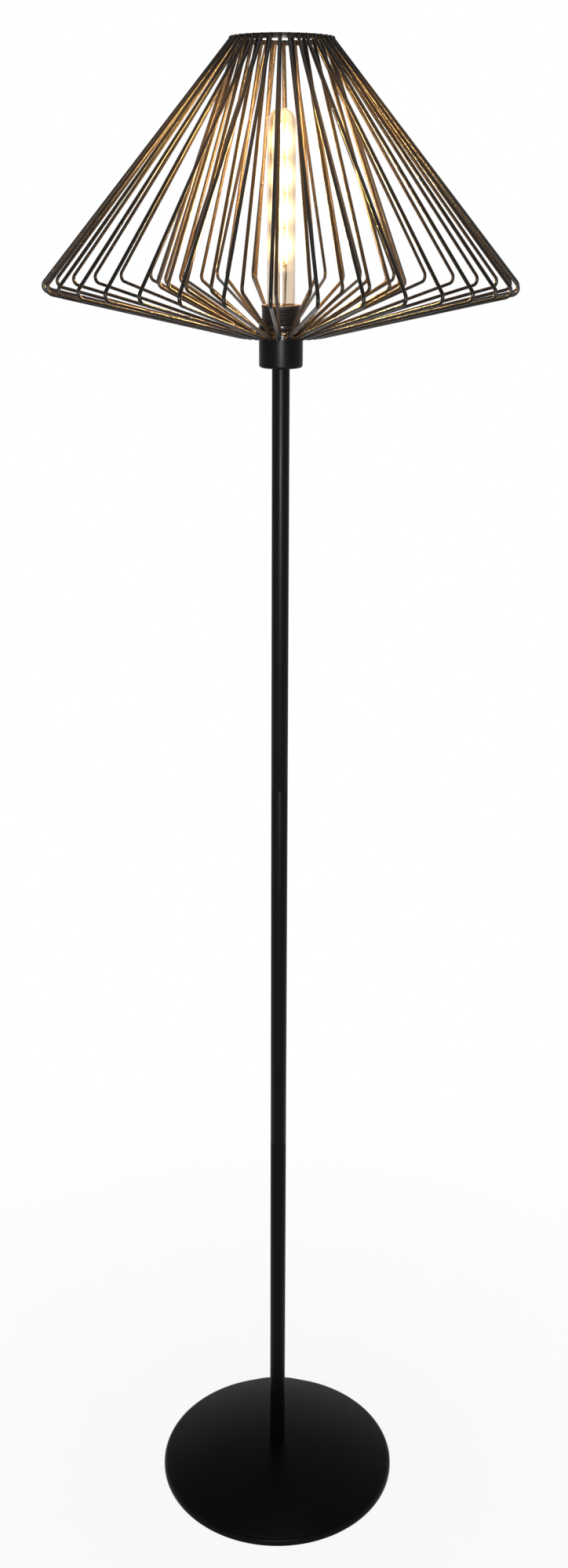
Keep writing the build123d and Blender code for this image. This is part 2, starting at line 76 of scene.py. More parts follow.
cover_radius, cover_bottom, cover_top = reach("base_cover")
pad_radius, pad_bottom, pad_top = reach("base_pad")
tube_radius = reach("lower_tube")[0]
cup_radius, cup_bottom, cup_top = reach("holder_cup")
skirt_radius, skirt_bottom, skirt_top = reach("lampholder_skirt")
shell_radius, shell_bottom, shell_top = reach("screw_shell")
nut_radius, nut_bottom, nut_top = reach("shade_ring")
hub_radius, hub_bottom, hub_top = reach("hub_plate")
rim_radius, rim_bottom, rim_top = reach("top_ring")
glass_radius, glass_bottom, glass_top = reach("bulb_glass")
cap_radius, cap_bottom, cap_top = reach("bulb_cap")
bead_radius, bead_bottom, bead_top = reach("bulb_insulator")
button_radius, button_bottom, button_top = reach("bulb_tip")
stem_foot_radius, stem_bottom, stem_top = reach("bulb_stem")


# --- Surfaces ---------------------------------------------------------------------------------------------


def unit(vector):
    """A vector of length one in the same direction."""
    return vector / np.linalg.norm(vector)


def eased(points, radii, steps=6):
    """A run of points whose corners give way to arcs.

    Each arc touches both sides of its corner: its centre lies on the line that halves the corner, at
    radius / sin(half the corner's angle), and its points turn evenly from one touching point to the other.
    A radius of nought keeps the corner. The first and the last point of a closed run may be eased too.
    """
    points = np.asarray(points, float)
    runs = []
    for index, (corner, radius) in enumerate(zip(points, radii)):
        if radius == 0:
            runs.append(corner[None])
            continue
        back = unit(points[index - 1] - corner)
        onward = unit(points[(index + 1) % len(points)] - corner)
        half = math.acos(float(np.clip(back @ onward, -1, 1))) / 2
        centre = corner + unit(back + onward) * radius / math.sin(half)
        first = corner + back * radius / math.tan(half) - centre
        last = corner + onward * radius / math.tan(half) - centre
        sweep = math.pi - 2 * half
        share = np.linspace(0, 1, steps + 1)[:, None]
        arc = (np.sin((1 - share) * sweep) * first + np.sin(share * sweep) * last) / math.sin(sweep)
        runs.append(centre + arc)
    return np.concatenate(runs)


def straight(start, end, steps):
    """Evenly spaced points of a straight line, its ends among them."""
    share = np.linspace(0, 1, steps + 1)[:, None]
    return (1 - share) * np.asarray(start, float) + share * np.asarray(end, float)


def round_angles(count):
    """Evenly spaced angles of a whole turn."""
    return np.arange(count) * TURN / count


def turned(outline, angles):
    """A grid turned about the lamp's axis: x = radius cos(angle), y = radius sin(angle), z = height."""
    radius, height = outline[:, :1], outline[:, 1:]
    return np.stack([radius * np.cos(angles), radius * np.sin(angles), height + 0 * angles], axis=-1)


def lathed(corners, radii, steps, sides):
    """A grid turned about the lamp's axis from a section whose corners are eased."""
    return turned(eased(corners, radii, steps), round_angles(sides))


def strip(inner, outer, bottom, top):
    """The corners of an upright strip's section, outwards along its foot and back along its top."""
    return [(inner, bottom), (outer, bottom), (outer, top), (inner, top)]


def threaded(grid, pitch, depth, low, high, run_out, rows=slice(None)):
    """A turned grid with a rounded screw thread pressed into it.

    A point moves towards the axis by depth (1 - cos(TURN height / pitch - angle)) / 2, so that the groove
    climbs one pitch in a turn. The groove fades out over run_out at its two ends, low and high.
    """
    grid = grid.copy()
    part = grid[rows]
    height = part[..., 2]
    around = np.arctan2(part[..., 1], part[..., 0])
    radius = np.hypot(part[..., 0], part[..., 1])
    ends = np.clip((height - low) / run_out, 0, 1) * np.clip((high - height) / run_out, 0, 1)
    wave = (1 - np.cos(TURN * height / pitch - around)) / 2
    part[..., :2] *= ((radius - depth * wave * ends) / radius)[..., None]
    return grid


def carried(route, radius, sides):
    """A round tube carried along a route of (radius, height) points in the plane y = 0.

    Ring points are route + radius (cos(turn) normal + sin(turn) sideways), where the normal is the route's
    own direction turned by a quarter in its plane. Where the radius is nought the tube closes in a point.
    """
    along = np.gradient(route, axis=0)
    along /= np.linalg.norm(along, axis=1, keepdims=True)
    normal = np.stack([-along[:, 1], along[:, 0]], axis=1)
    turn = round_angles(sides)
    offset = radius[:, None] * np.cos(turn)
    return np.stack(
        [
            route[:, :1] + offset * normal[:, :1],
            radius[:, None] * np.sin(turn),
            route[:, 1:] + offset * normal[:, 1:],
        ],
        axis=-1,
    )


def spread(grid, angles):
    """Copies of a grid turned about the lamp's axis to the given angles."""
    cosine, sine = np.cos(angles)[:, None, None], np.sin(angles)[:, None, None]
    x, y, z = grid[None, ..., 0], grid[None, ..., 1], grid[None, ..., 2]
    return np.stack([x * cosine - y * sine, x * sine + y * cosine, z + 0 * cosine], axis=-1)


def closer_rows(route, spacing, ends):
    """A route with more points, by straight lines between its own.

    Points are added every spacing along it, and at the given distances from each of its two ends.
    """
    along = np.concatenate([[0], np.cumsum(np.linalg.norm(np.diff(route, axis=0), axis=1))])
    extra = np.concatenate([np.arange(0, along[-1], spacing), ends, along[-1] - np.asarray(ends)])
    stops = np.sort(np.concatenate([along, extra]))
    stops = stops[np.concatenate([[True], np.diff(stops) > 20 * WELD])]
    route = np.stack([np.interp(stops, along, route[:, axis]) for axis in (0, 1)], axis=1)
    return route, stops, along[-1]


def smooth_step(value, low, high):
    """Nought below low, one above high, and 3 t t - 2 t t t between them."""
    share = np.clip((value - low) / (high - low), 0, 1)
    return share * share * (3 - 2 * share)


def grid_faces(rows, columns, close_rows):
    """Four-sided faces between neighbouring rows and columns. Columns always close, rows when asked."""
    row = np.arange(rows if close_rows else rows - 1)[:, None]
    column = np.arange(columns)[None, :]
    next_row, next_column = (row + 1) % rows, (column + 1) % columns
    corners = [
        row * columns + column,
        row * columns + next_column,
        next_row * columns + next_column,
        next_row * columns + column,
    ]
    return np.stack(corners, axis=-1).reshape(-1, 4)


def surface_mesh(name, grids, close_rows):
    """One mesh of grids whose last three axes are row, column and x y z, with seams and poles welded."""
    points, faces, start = [], [], 0
    for grid in grids:
        rows, columns = grid.shape[-3:-1]
        copies = grid.reshape(-1, rows * columns, 3)
        one = grid_faces(rows, columns, close_rows)
        offsets = start + np.arange(len(copies)) * rows * columns
        points.append(copies.reshape(-1, 3))
        faces.append((one[None] + offsets[:, None, None]).reshape(-1, 4))
        start += len(copies) * rows * columns
    mesh = bpy.data.meshes.new(name)
    mesh.from_pydata(np.concatenate(points), [], np.concatenate(faces))
    shell = bmesh.new()
    shell.from_mesh(mesh)
    bmesh.ops.remove_doubles(shell, verts=shell.verts, dist=WELD)
    bmesh.ops.recalc_face_normals(shell, faces=shell.faces)
    shell.to_mesh(mesh)
    shell.free()
    mesh.polygons.foreach_set("use_smooth", np.ones(len(mesh.polygons), bool))
    mesh.set_sharp_from_angle(angle=SHARP_EDGE)
    mesh.update()
    if mesh.validate():
        raise RuntimeError(f"{name} has faces that aren't whole")
    return mesh


def place(name, grids, body, slot, replaced, close_rows=True, coat=None):
    """Puts one piece on the body it moves with, in the finish of its slot or in another finish."""
    mesh = surface_mesh(name, grids if isinstance(grids, list) else [grids], close_rows)
    mesh.materials.append(finish(coat or slot))
    piece = bpy.data.objects.new(name, mesh)
    bpy.context.scene.collection.objects.link(piece)
    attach(piece, body)
    if replaced:
        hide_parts(*replaced)


# --- Finishes ---------------------------------------------------------------------------------------------


def add_node(tree, kind, inputs=None, **settings):
    """A shader node with its settings, and its inputs set to a value or linked to another node's output."""
    made = tree.nodes.new(kind)
    for setting, value in settings.items():
        setattr(made, setting, value)
    for socket, value in (inputs or {}).items():
        if isinstance(value, bpy.types.NodeSocket):
            tree.links.new(value, made.inputs[socket])
        else:
            made.inputs[socket].default_value = value
    return made


def new_finish(name):
    """An empty material with its node tree, its output node and the object's own coordinates."""
    material = bpy.data.materials.new(name)
    material.use_nodes = True
    tree = material.node_tree
    tree.nodes.clear()
    output = add_node(tree, "ShaderNodeOutputMaterial")
    here = add_node(tree, "ShaderNodeTexCoord").outputs["Object"]
    return material, tree, output, here


def principled(tree, inputs):
    """A Principled shader with those inputs."""
    return add_node(tree, "ShaderNodeBsdfPrincipled", inputs).outputs[0]


def mixed(tree, share, first, second):
    """A mix of two shaders: a share of nought gives the first, and one gives the second."""
    return add_node(tree, "ShaderNodeMixShader", {0: share, 1: first, 2: second}).outputs[0]


def noise(tree, coordinates, scale, detail=2.0, roughness=0.5):
    """Smooth noise with that many humps to the metre."""
    inputs = {"Vector": coordinates, "Scale": scale, "Detail": detail, "Roughness": roughness}
    return add_node(tree, "ShaderNodeTexNoise", inputs).outputs["Fac"]


def stretched(tree, coordinates, scale):
    """Coordinates scaled along each axis, so that noise draws out along those with a small scale."""
    return add_node(tree, "ShaderNodeMapping", {"Vector": coordinates, "Scale": scale}).outputs[0]


def height_of(tree, vector):
    """The Z part of a vector."""
    return add_node(tree, "ShaderNodeSeparateXYZ", {0: vector}).outputs["Z"]


def length_of(tree, vector):
    """The length of a vector."""
    return add_node(tree, "ShaderNodeVectorMath", {0: vector}, operation="LENGTH").outputs["Value"]


def ranged(tree, value, span, target):
    """A value carried from one range to another and held at its ends."""
    inputs = dict(enumerate((value, *span, *target)))
    return add_node(tree, "ShaderNodeMapRange", inputs).outputs[0]


def blended(tree, share, first, second):
    """A colour between two colours."""
    return add_node(tree, "ShaderNodeMix", {0: share, 6: first, 7: second}, data_type="RGBA").outputs[2]


def calculated(tree, operation, *values):
    """The result of a Math node on its values."""
    return add_node(tree, "ShaderNodeMath", dict(enumerate(values)), operation=operation).outputs[0]


def product(tree, first, *others):
    """The product of two or more values."""
    for other in others:
        first = calculated(tree, "MULTIPLY", first, other)
    return first


def raised(tree, height, distance, strength):
    """A normal for a surface whose height follows a value."""
    inputs = {"Height": height, "Distance": distance, "Strength": strength}
    return add_node(tree, "ShaderNodeBump", inputs).outputs["Normal"]


def shade(colour, amount=1.0):
    """A colour made lighter or darker by a factor, with its alpha."""
    return (*(min(channel * amount, 1.0) for channel in colour[:3]), 1.0)


def painted_glow_falloff(tree, here, spread_out):
    """How strongly the bulb's warm light is painted onto a point, from 1 down to 0.

    It is exp(-(d / spread_out)^2) for a distance d to the axis, faded out above the bulb's top and below its
    foot.
    """
    inputs = {0: here, 1: (1.0, 1.0, 0.0)}
    flat = add_node(tree, "ShaderNodeVectorMath", inputs, operation="MULTIPLY").outputs[0]
    aside = length_of(tree, flat)
    height = height_of(tree, here)
    share = calculated(tree, "DIVIDE", product(tree, aside, aside), -(spread_out**2))
    near = calculated(tree, "EXPONENT", share)
    above = ranged(tree, height, (glass_top - 0.022, glass_top + 0.034), (1.0, 0.0))
    below = ranged(tree, height, (skirt_top - 0.025, skirt_top + 0.040), (0.0, 1.0))
    return product(tree, near, above, below)


def coated_finish(
    tree, here, colour, roughness, specular, peel=520.0, peel_height=0.00006, painted_coat_glow=0.0, painted_glow_reach=1.0
):
    """Powder coat: fine orange peel, cloudy gloss, a few paler specks of dust, and painted glow near the
    bulb.

    painted_coat_glow and painted_glow_reach are the strength and reach of that painted light.
    """
    cloud = noise(tree, here, scale=14.0, detail=3.0)
    dust = ranged(tree, noise(tree, here, scale=1400.0, detail=0.0), (0.80, 0.86), (0.0, 0.12))
    tone = blended(tree, cloud, shade(colour, 0.8), shade(colour, 1.2))
    inputs = {
        "Base Color": blended(tree, dust, tone, DUST),
        "Roughness": ranged(tree, cloud, (0.3, 0.7), (roughness - 0.05, roughness + 0.05)),
        "Specular IOR Level": specular,
        "Normal": raised(tree, noise(tree, here, peel, detail=1.0), peel_height, strength=0.5),
    }
    if painted_coat_glow:
        # painted light: warm emission on the coat that stands in for the bulb's light falling on it
        coat_glow_share = painted_glow_falloff(tree, here, painted_glow_reach)
        inputs["Emission Color"] = shade(bpy.context.scene.lamp_colours.painted_coat_glow)
        inputs["Emission Strength"] = product(tree, coat_glow_share, painted_coat_glow)
    return principled(tree, inputs)


def moulded_finish(tree, here, colour, roughness, specular, coat=0.0):
    """Moulded plastic or rubber: a faint flow pattern drawn out along the height, and fine pits."""
    flow = noise(tree, stretched(tree, here, (1.0, 1.0, 0.25)), scale=120.0, detail=4.0, roughness=0.6)
    inputs = {
        "Base Color": blended(tree, flow, shade(colour, 0.75), shade(colour, 1.3)),
        "Roughness": ranged(tree, flow, (0.3, 0.7), (roughness - 0.06, roughness + 0.06)),
        "Specular IOR Level": specular,
        "Coat Weight": coat,
        "Coat Roughness": 0.12,
        "Normal": raised(tree, noise(tree, here, scale=2400.0, detail=1.0), distance=0.00003, strength=0.35),
    }
    return principled(tree, inputs)


def bare_metal_finish(tree, here, colour, roughness, grain, stain):
    """Plated or bare metal: grain stretched round the piece, and dull stains where it has been handled."""
    lines = noise(tree, stretched(tree, here, (0.08, 0.08, 1.0)), grain, detail=2.0)
    patch = noise(tree, here, scale=60.0, detail=4.0, roughness=0.6)
    dull = ranged(tree, patch, (0.45, 0.7), (0.0, stain))
    tone = blended(tree, lines, shade(colour, 0.88), shade(colour, 1.06))
    inputs = {
        "Base Color": blended(tree, dull, tone, shade(colour, 0.45)),
        "Roughness": ranged(tree, patch, (0.35, 0.75), (roughness - 0.05, roughness + 0.14)),
        "Metallic": 1.0,
        "Normal": raised(tree, lines, distance=0.00002, strength=0.3),
    }
    return principled(tree, inputs)


def cast_finish(tree, here, colour):
    """Cast iron: grey with a rough skin, dark hollows and a little rust in them."""
    skin = noise(tree, here, scale=320.0, detail=6.0, roughness=0.7)
    rust = ranged(tree, noise(tree, here, scale=38.0, detail=5.0, roughness=0.65), (0.56, 0.7), (0.0, 1.0))
    tone = blended(tree, skin, shade(colour, 0.6), shade(colour, 1.4))
    inputs = {
        "Base Color": blended(tree, rust, tone, RUST),
        "Roughness": ranged(tree, skin, (0.3, 0.7), (0.62, 0.85)),
        "Metallic": 0.6,
        "Normal": raised(tree, skin, distance=0.0004, strength=0.7),
    }
    return principled(tree, inputs)


def ceramic_finish(tree, here, colour):
    """Pressed white ceramic: chalky mottling, fine pores and the odd brown speck."""
    mottle = noise(tree, here, scale=170.0, detail=4.0, roughness=0.6)
    speck = ranged(tree, noise(tree, here, scale=900.0, detail=1.0), (0.72, 0.78), (0.0, 0.6))
    tone = blended(tree, mottle, shade(colour, 0.9), shade(colour, 1.05))
    inputs = {
        "Base Color": blended(tree, speck, tone, BROWN_SPECK),
        "Roughness": ranged(tree, mottle, (0.3, 0.7), (0.4, 0.55)),
        "Normal": raised(tree, noise(tree, here, scale=1600.0, detail=2.0), distance=0.00005, strength=0.4),
    }
    return principled(tree, inputs)


def tier_glow(tree, here):
    """Painted glow by the height alone: one beside the middle of a tier of filaments, less between two tiers.

    The first result is sin(pi t)^2, where t grows by one from tier to tier. The second fades out below all
    the tiers.
    """
    bulb = bpy.context.scene.lamp_bulb
    pitch = bulb.filament_length + bulb.tier_gap
    rise = calculated(tree, "SUBTRACT", height_of(tree, here), bulb.first_tier - bulb.tier_gap / 2)
    tier = calculated(tree, "DIVIDE", rise, pitch)
    wave = calculated(tree, "SINE", product(tree, tier, math.pi))
    return product(tree, wave, wave), ranged(tree, tier, (-0.25, 0.15), (0.0, 1.0))


def glass_finish(tree, here, colour, painted_glass_glow):
    """Blown glass that lets the lamps' light through, with the filaments' glow painted on as emission.

    The painted glow is the tiers' glow times the fourth power of the cosine between the surface and the view.
    """
    glow, strength = bpy.context.scene.lamp_colours.glow, bpy.context.scene.lamp_bulb.glow
    ripple = noise(tree, stretched(tree, here, (1.0, 1.0, 0.06)), scale=240.0, detail=2.0)
    facing = add_node(tree, "ShaderNodeLayerWeight", {"Blend": 0.5}).outputs["Facing"]
    # painted glare: strongest where the glass faces the view
    front = calculated(tree, "POWER", calculated(tree, "SUBTRACT", 1.0, facing), 4.0)
    lobe, foot = tier_glow(tree, here)
    level = calculated(tree, "MULTIPLY_ADD", lobe, 0.8, 0.2)
    golden = (glow[0], 0.8 * glow[1], 0.5 * glow[2], 1.0)
    inputs = {
        "Base Color": blended(tree, ripple, shade(colour, 0.94), shade(colour, 1.04)),
        "Roughness": 0.0,
        "IOR": GLASS_INDEX,
        "Transmission Weight": 1.0,
        # painted light: emission on the glass that stands in for the filaments' glare
        "Emission Color": blended(tree, lobe, golden, shade(glow)),
        "Emission Strength": product(tree, level, foot, front, painted_glass_glow * strength),
    }
    clear = add_node(tree, "ShaderNodeBsdfTransparent", {"Color": shade(colour)}).outputs[0]
    shadow = add_node(tree, "ShaderNodeLightPath").outputs["Is Shadow Ray"]
    return mixed(tree, shadow, principled(tree, inputs), clear)


def lit_coating_finish(tree, here, colour):
    """Phosphor coating over the lit filament: grainy, yellow, and glowing."""
    light = bpy.context.scene.lamp_colours.filament
    grain = noise(tree, here, scale=1500.0, detail=3.0, roughness=0.6)
    inputs = {
        "Base Color": blended(tree, grain, shade(colour, 0.85), shade(colour, 1.1)),
        "Roughness": 0.6,
        "Normal": raised(tree, grain, distance=0.00005, strength=0.4),
        "Emission Color": blended(tree, grain, shade(light, 0.9), shade(light)),
        "Emission Strength": bpy.context.scene.lamp_bulb.light,
    }
    return principled(tree, inputs)


# Each finish: what makes it, the material's name, its colour among the colour settings, and its numbers.
FINISHES = {
    "black_paint": (coated_finish, "satin_black_coat", "paint", dict(roughness=0.35, specular=0.06)),
    "cage_paint": (
        coated_finish,
        "cage_black_coat",
        "cage",
        # the cage's coat carries painted warm light near the bulb
        dict(roughness=0.28, specular=0.16, peel=250.0, peel_height=0.00001, painted_coat_glow=0.26, painted_glow_reach=0.085),
    ),
    "pad_rubber": (moulded_finish, "pad_rubber_sheet", "rubber", dict(roughness=0.8, specular=0.2)),
    "cast_iron": (cast_finish, "cast_iron_skin", "iron", {}),
    "black_plastic": (moulded_finish, "bush_plastic", "plastic", dict(roughness=0.5, specular=0.3)),
    "black_phenolic": (moulded_finish, "holder_phenolic", "phenolic", dict(roughness=0.36, specular=0.16)),
    "ring_phenolic": (
        moulded_finish,
        "ring_phenolic_gloss",
        "phenolic",
        dict(roughness=0.27, specular=0.25, coat=0.04),
    ),
    "zinc_steel": (
        bare_metal_finish,
        "zinc_plated_steel",
        "zinc",
        dict(roughness=0.32, grain=3000.0, stain=0.3),
    ),
    "white_ceramic": (ceramic_finish, "holder_ceramic", "ceramic", {}),
    "brass": (bare_metal_finish, "contact_brass", "brass", dict(roughness=0.28, grain=2600.0, stain=0.5)),
    "cap_nickel": (
        bare_metal_finish,
        "cap_nickel_plate",
        "nickel",
        dict(roughness=0.24, grain=3400.0, stain=0.25),
    ),
    "insulator_glass": (moulded_finish, "insulator_glass", "insulator", dict(roughness=0.12, specular=0.5)),
    # the bulb's glass carries a painted glow of the filaments, the stem's glass none
    "bulb_glass": (glass_finish, "blown_bulb_glass", "glass", dict(painted_glass_glow=1.0)),
    "stem_glass": (glass_finish, "drawn_stem_glass", "stem", dict(painted_glass_glow=0.0)),
    "filament_coating": (lit_coating_finish, "filament_phosphor", "phosphor", {}),
}
made_finishes = {}


def finish(name):
    """The finish of that name, made the first time it is asked for."""
    if name not in made_finishes:
        maker, title, colour, numbers = FINISHES[name]
        material, tree, output, here = new_finish(title)
        surface = maker(tree, here, getattr(bpy.context.scene.lamp_colours, colour), **numbers)
        tree.links.new(surface, output.inputs[0])
        made_finishes[name] = material
    return made_finishes[name]


# --- Settings ---------------------------------------------------------------------------------------------


def number(name, description, default, **kind):
    """A number that a user may change."""
    return bpy.props.FloatProperty(name=name, description=description, default=default, **kind)


def length(name, description, default):
    """A length that a user may change."""
    return number(name, description, default, min=0.0, precision=5, subtype="DISTANCE", unit="LENGTH")


def angle(name, description, default):
    """An angle that a user may change."""
    return number(name, description, default, subtype="ANGLE")


def power(name, description, default):
    """A lamp's power that a user may change."""
    return number(name, description, default, subtype="POWER", unit="POWER")


def count(name, description, default, least=1):
    """A whole number that a user may change."""
    return bpy.props.IntProperty(name=name, description=description, default=default, min=least)


def tint(name, description, default):
    """A colour that a user may change."""
    return bpy.props.FloatVectorProperty(
        name=name, description=description, default=default, size=3, min=0.0, max=1.0, subtype="COLOR"
    )


class LampBaseSettings(bpy.types.PropertyGroup):
    """Sizes of the base and its cable bush."""

    cover_wall: length("Cover wall", "Thickness of the spun cover", 0.0012)
    lip_height: length("Lip height", "Floor to the sharp edge between lip and dome", 0.008)
    lip_round: length("Lip round", "Radius of the rounded edge between lip and dome", 0.0066)
    notch_round: length("Notch round", "Radius of the same edge over the notch", 0.0022)
    land_radius: length("Land radius", "Radius of the flat land under the pole", 0.012)
    hole_radius: length("Hole radius", "Radius of the hole for the foot stud", 0.005)
    notch_radius: length("Notch radius", "Radius of the notch for the cable bush", 0.0029)
    notch_height: length("Notch height", "Floor to the axis of the cable bush", 0.0033)
    bush_flange: length("Bush flange", "How far the bush's flanges stand past its body", 0.0012)
    bush_flange_thickness: length("Bush flange thickness", "Thickness of each flange", 0.0014)
    bush_hole: length("Bush hole", "Radius of the hole through the bush", 0.0024)


class LampPoleSettings(bpy.types.PropertyGroup):
    """Sizes of the pole's tubes and the holder cup."""

    tube_wall: length("Tube wall", "Thickness of the tubes", 0.0012)
    seam_round: length("Seam round", "Radius of the edge at each end of a tube", 0.00035)
    cup_wall: length("Cup wall", "Thickness of the holder cup", 0.0015)
    cup_foot_round: length("Cup foot round", "Radius of the cup's lower edge", 0.0026)
    cup_lip_round: length("Cup lip round", "Radius of the cup's upper edge", 0.0005)
    cup_hole: length("Cup hole", "Radius of the hole for the nipple", 0.005)


class LampHolderSettings(bpy.types.PropertyGroup):
    """Sizes of the lampholder, its screw shell and the shade ring."""

    skirt_wall: length("Skirt wall", "Thickness of the skirt under its thread", 0.0019)
    mouth_radius: length("Mouth radius", "Radius of the opening for the bulb", 0.0146)
    mouth_thickness: length("Mouth thickness", "Thickness of the skirt round its mouth", 0.003)
    mouth_round: length("Mouth round", "Radius of the rounded upper rim", 0.0013)
    thread_pitch: length("Thread pitch", "Pitch of the outer thread", 0.00243)
    thread_depth: length("Thread depth", "Depth of the outer thread", 0.0008)
    plain_rim: length("Plain rim", "Height of the unthreaded rim at the mouth", 0.0024)
    shell_wall: length("Shell wall", "Thickness of the screw shell", 0.00035)
    ring_round: length("Ring round", "Radius of the shade ring's upper edge", 0.0009)
    ring_bore: length("Ring bore", "Radius of the shade ring's bore", 0.0198)


class LampCageSettings(bpy.types.PropertyGroup):
    """Sizes of the cage."""

    wire_radius: length("Wire radius", "Radius of every wire", 0.00175)
    first_angle: angle("First wire", "Angle of the first wire", math.radians(-92.2))
    outer_count: count("Outer wires", "Number of outer wires", 36, 3)
    outer_end: length("Outer end", "Upright end of an outer wire", 0.0025)
    outer_corner_radius: length("Outer corner", "Radius at which an outer wire's legs would meet", 0.2380)
    outer_corner_rise: length("Outer corner rise", "The same corner above the hub's lower edge", 0.0478)
    outer_bend: length("Outer bend", "Bend radius of an outer wire", 0.0065)
    outer_foot: length("Outer foot", "Radius inside which an outer wire runs level", 0.045)
    inner_count: count("Inner wires", "Number of inner wires", 24, 3)
    inner_end: length("Inner end", "Upright end of an inner wire", 0.0052)
    inner_corner_radius: length("Inner corner", "Radius at which an inner wire's legs would meet", 0.1232)
    inner_corner_rise: length("Inner corner rise", "The same corner above the hub's lower edge", 0.052)
    inner_bend: length("Inner bend", "Bend radius of an inner wire", 0.006)
    inner_foot: length("Inner foot", "Radius inside which an inner wire runs level", 0.036)
    row_lift: length("Row lift", "Hub's lower edge to the lower row of wire ends", 0.0008)
    row_gap: length("Row gap", "Between the two rows of wire ends", 0.00015)
    soft_bend: length("Soft bend", "Bend radius where a wire leaves the hub", 0.012)
    top_bend: length("Top bend", "Bend radius where a wire leaves the top ring", 0.0055)
    ring_thickness: length("Ring thickness", "Thickness of the top ring", 0.002)
    ring_round: length("Ring round", "Radius of the top ring's edges", 0.0007)
    plate_thickness: length("Plate thickness", "Thickness of the hub plate", 0.002)
    plate_round: length("Plate round", "Radius of the hub plate's pressed shoulder", 0.002)
    plate_hole: length("Plate hole", "Radius of the hub plate's hole", 0.0202)


class LampBulbSettings(bpy.types.PropertyGroup):
    """Sizes of the bulb and the strength of its light."""

    wall: length("Glass wall", "Thickness of the glass", 0.0008)
    neck_radius: length("Neck radius", "Radius of the glass in the cap", 0.0124)
    shoulder: length("Shoulder", "Height at which the tube reaches its full radius", skirt_top - 0.003)
    stem_radius: length("Stem radius", "Radius of the glass stem", 0.0032)
    stem_foot_height: length("Stem foot height", "Height of the stem's flared foot", 0.007)
    tiers: count("Tiers", "Tiers of filaments", 4)
    per_tier: count("Filaments", "Filaments in a tier", 4)
    first_tier: length("First tier", "Height of the lowest filament end", skirt_top + 0.040)
    filament_length: length("Filament length", "Length of a filament", 0.031)
    tier_gap: length("Tier gap", "Between two tiers", 0.002)
    filament_radius: length("Filament radius", "Radius of a filament", 0.0009)
    filament_circle: length("Filament circle", "Radius of the circle the filaments stand on", 0.0052)
    support_radius: length("Support radius", "Radius of the support wires", 0.0004)
    cap_wall: length("Cap wall", "Thickness of the metal cap", 0.0005)
    cap_pitch: length("Cap pitch", "Pitch of the cap's thread", 0.003629)
    cap_depth: length("Cap depth", "Depth of the cap's thread", 0.0009)
    light: number("Light", "Strength of the filaments' light", 7500.0)
    # strength of the filaments' glow painted onto the glass as emission
    glow: number("Glow", "Strength of the haze in the glass", 1.0)


class LampColours(bpy.types.PropertyGroup):
    """Colours of the finishes."""

    paint: tint("Paint", "Powder coat of the base, the pole and the cup", (0.0020, 0.0020, 0.0024))
    cage: tint("Cage", "Powder coat of the cage", (0.0045, 0.0032, 0.0021))
    rubber: tint("Rubber", "Floor pad", (0.030, 0.030, 0.030))
    iron: tint("Iron", "Cast weight", (0.12, 0.12, 0.12))
    plastic: tint("Plastic", "Cable bush", (0.020, 0.020, 0.020))
    phenolic: tint("Phenolic", "Lampholder and shade ring", (0.0085, 0.0062, 0.0058))
    zinc: tint("Zinc", "Plated studs, nuts and washers", (0.60, 0.62, 0.64))
    ceramic: tint("Ceramic", "Contact block", (0.80, 0.78, 0.74))
    brass: tint("Brass", "Contacts and screws", (0.78, 0.57, 0.26))
    nickel: tint("Nickel", "Bulb cap", (0.66, 0.64, 0.60))
    insulator: tint("Insulator", "Glass bead under the cap", (0.010, 0.010, 0.013))
    glass: tint("Glass", "Glass of the bulb", (0.87, 0.78, 0.67))
    # colour of the filaments' glow painted onto the glass as emission
    glow: tint("Glow", "Haze of light in the glass", (1.0, 0.86, 0.45))
    stem: tint("Stem", "Glass of the stem", (1.0, 0.97, 0.93))
    phosphor: tint("Phosphor", "Coating of the filaments", (0.85, 0.55, 0.12))
    filament: tint("Filament light", "Light of the filaments", (1.0, 0.72, 0.33))
    # colour of the bulb's light painted onto the cage's coat as emission
    painted_coat_glow: tint("Warmth", "Glow of the bulb on the cage's coat", (1.0, 0.45, 0.11))
    floor: tint("Floor", "Floor of the studio", (0.80, 0.80, 0.80))


class LampStageSettings(bpy.types.PropertyGroup):
    """Light, floor and camera."""

    sky: number("Room light", "Light from all round", 0.35)
    ceiling: number("Ceiling", "Brightness of the ceiling in gloss", 0.35)
    front_power: power("Front panel", "Power of the front panel", 12.5)
    front_spread: angle("Front spread", "Opening of the front panel's beam", 1.05)
    top_power: power("Top panel", "Power of the panel overhead", 9.0)
    floor_radius: length("Floor radius", "Radius of the floor", 40.0)
    camera_distance: length("Camera distance", "From the lamp's axis to the camera, on the level", 1.692)
    camera_height: length("Camera height", "Height of the camera", 1.5179)
    camera_pitch: angle("Camera pitch", "Camera's tilt below the level", math.radians(17.56))
    camera_roll: angle("Camera roll", "Camera's turn about its view", math.radians(-0.2))
    lens: number("Lens", "Focal length", 38.12, subtype="DISTANCE_CAMERA", unit="CAMERA")
    shift_x: number("Shift X", "Sideways shift of the picture", 0.0016)
    shift_y: number("Shift Y", "Upward shift of the picture", -0.0485)


# --- Pieces -----------------------------------------------------------------------------------------------


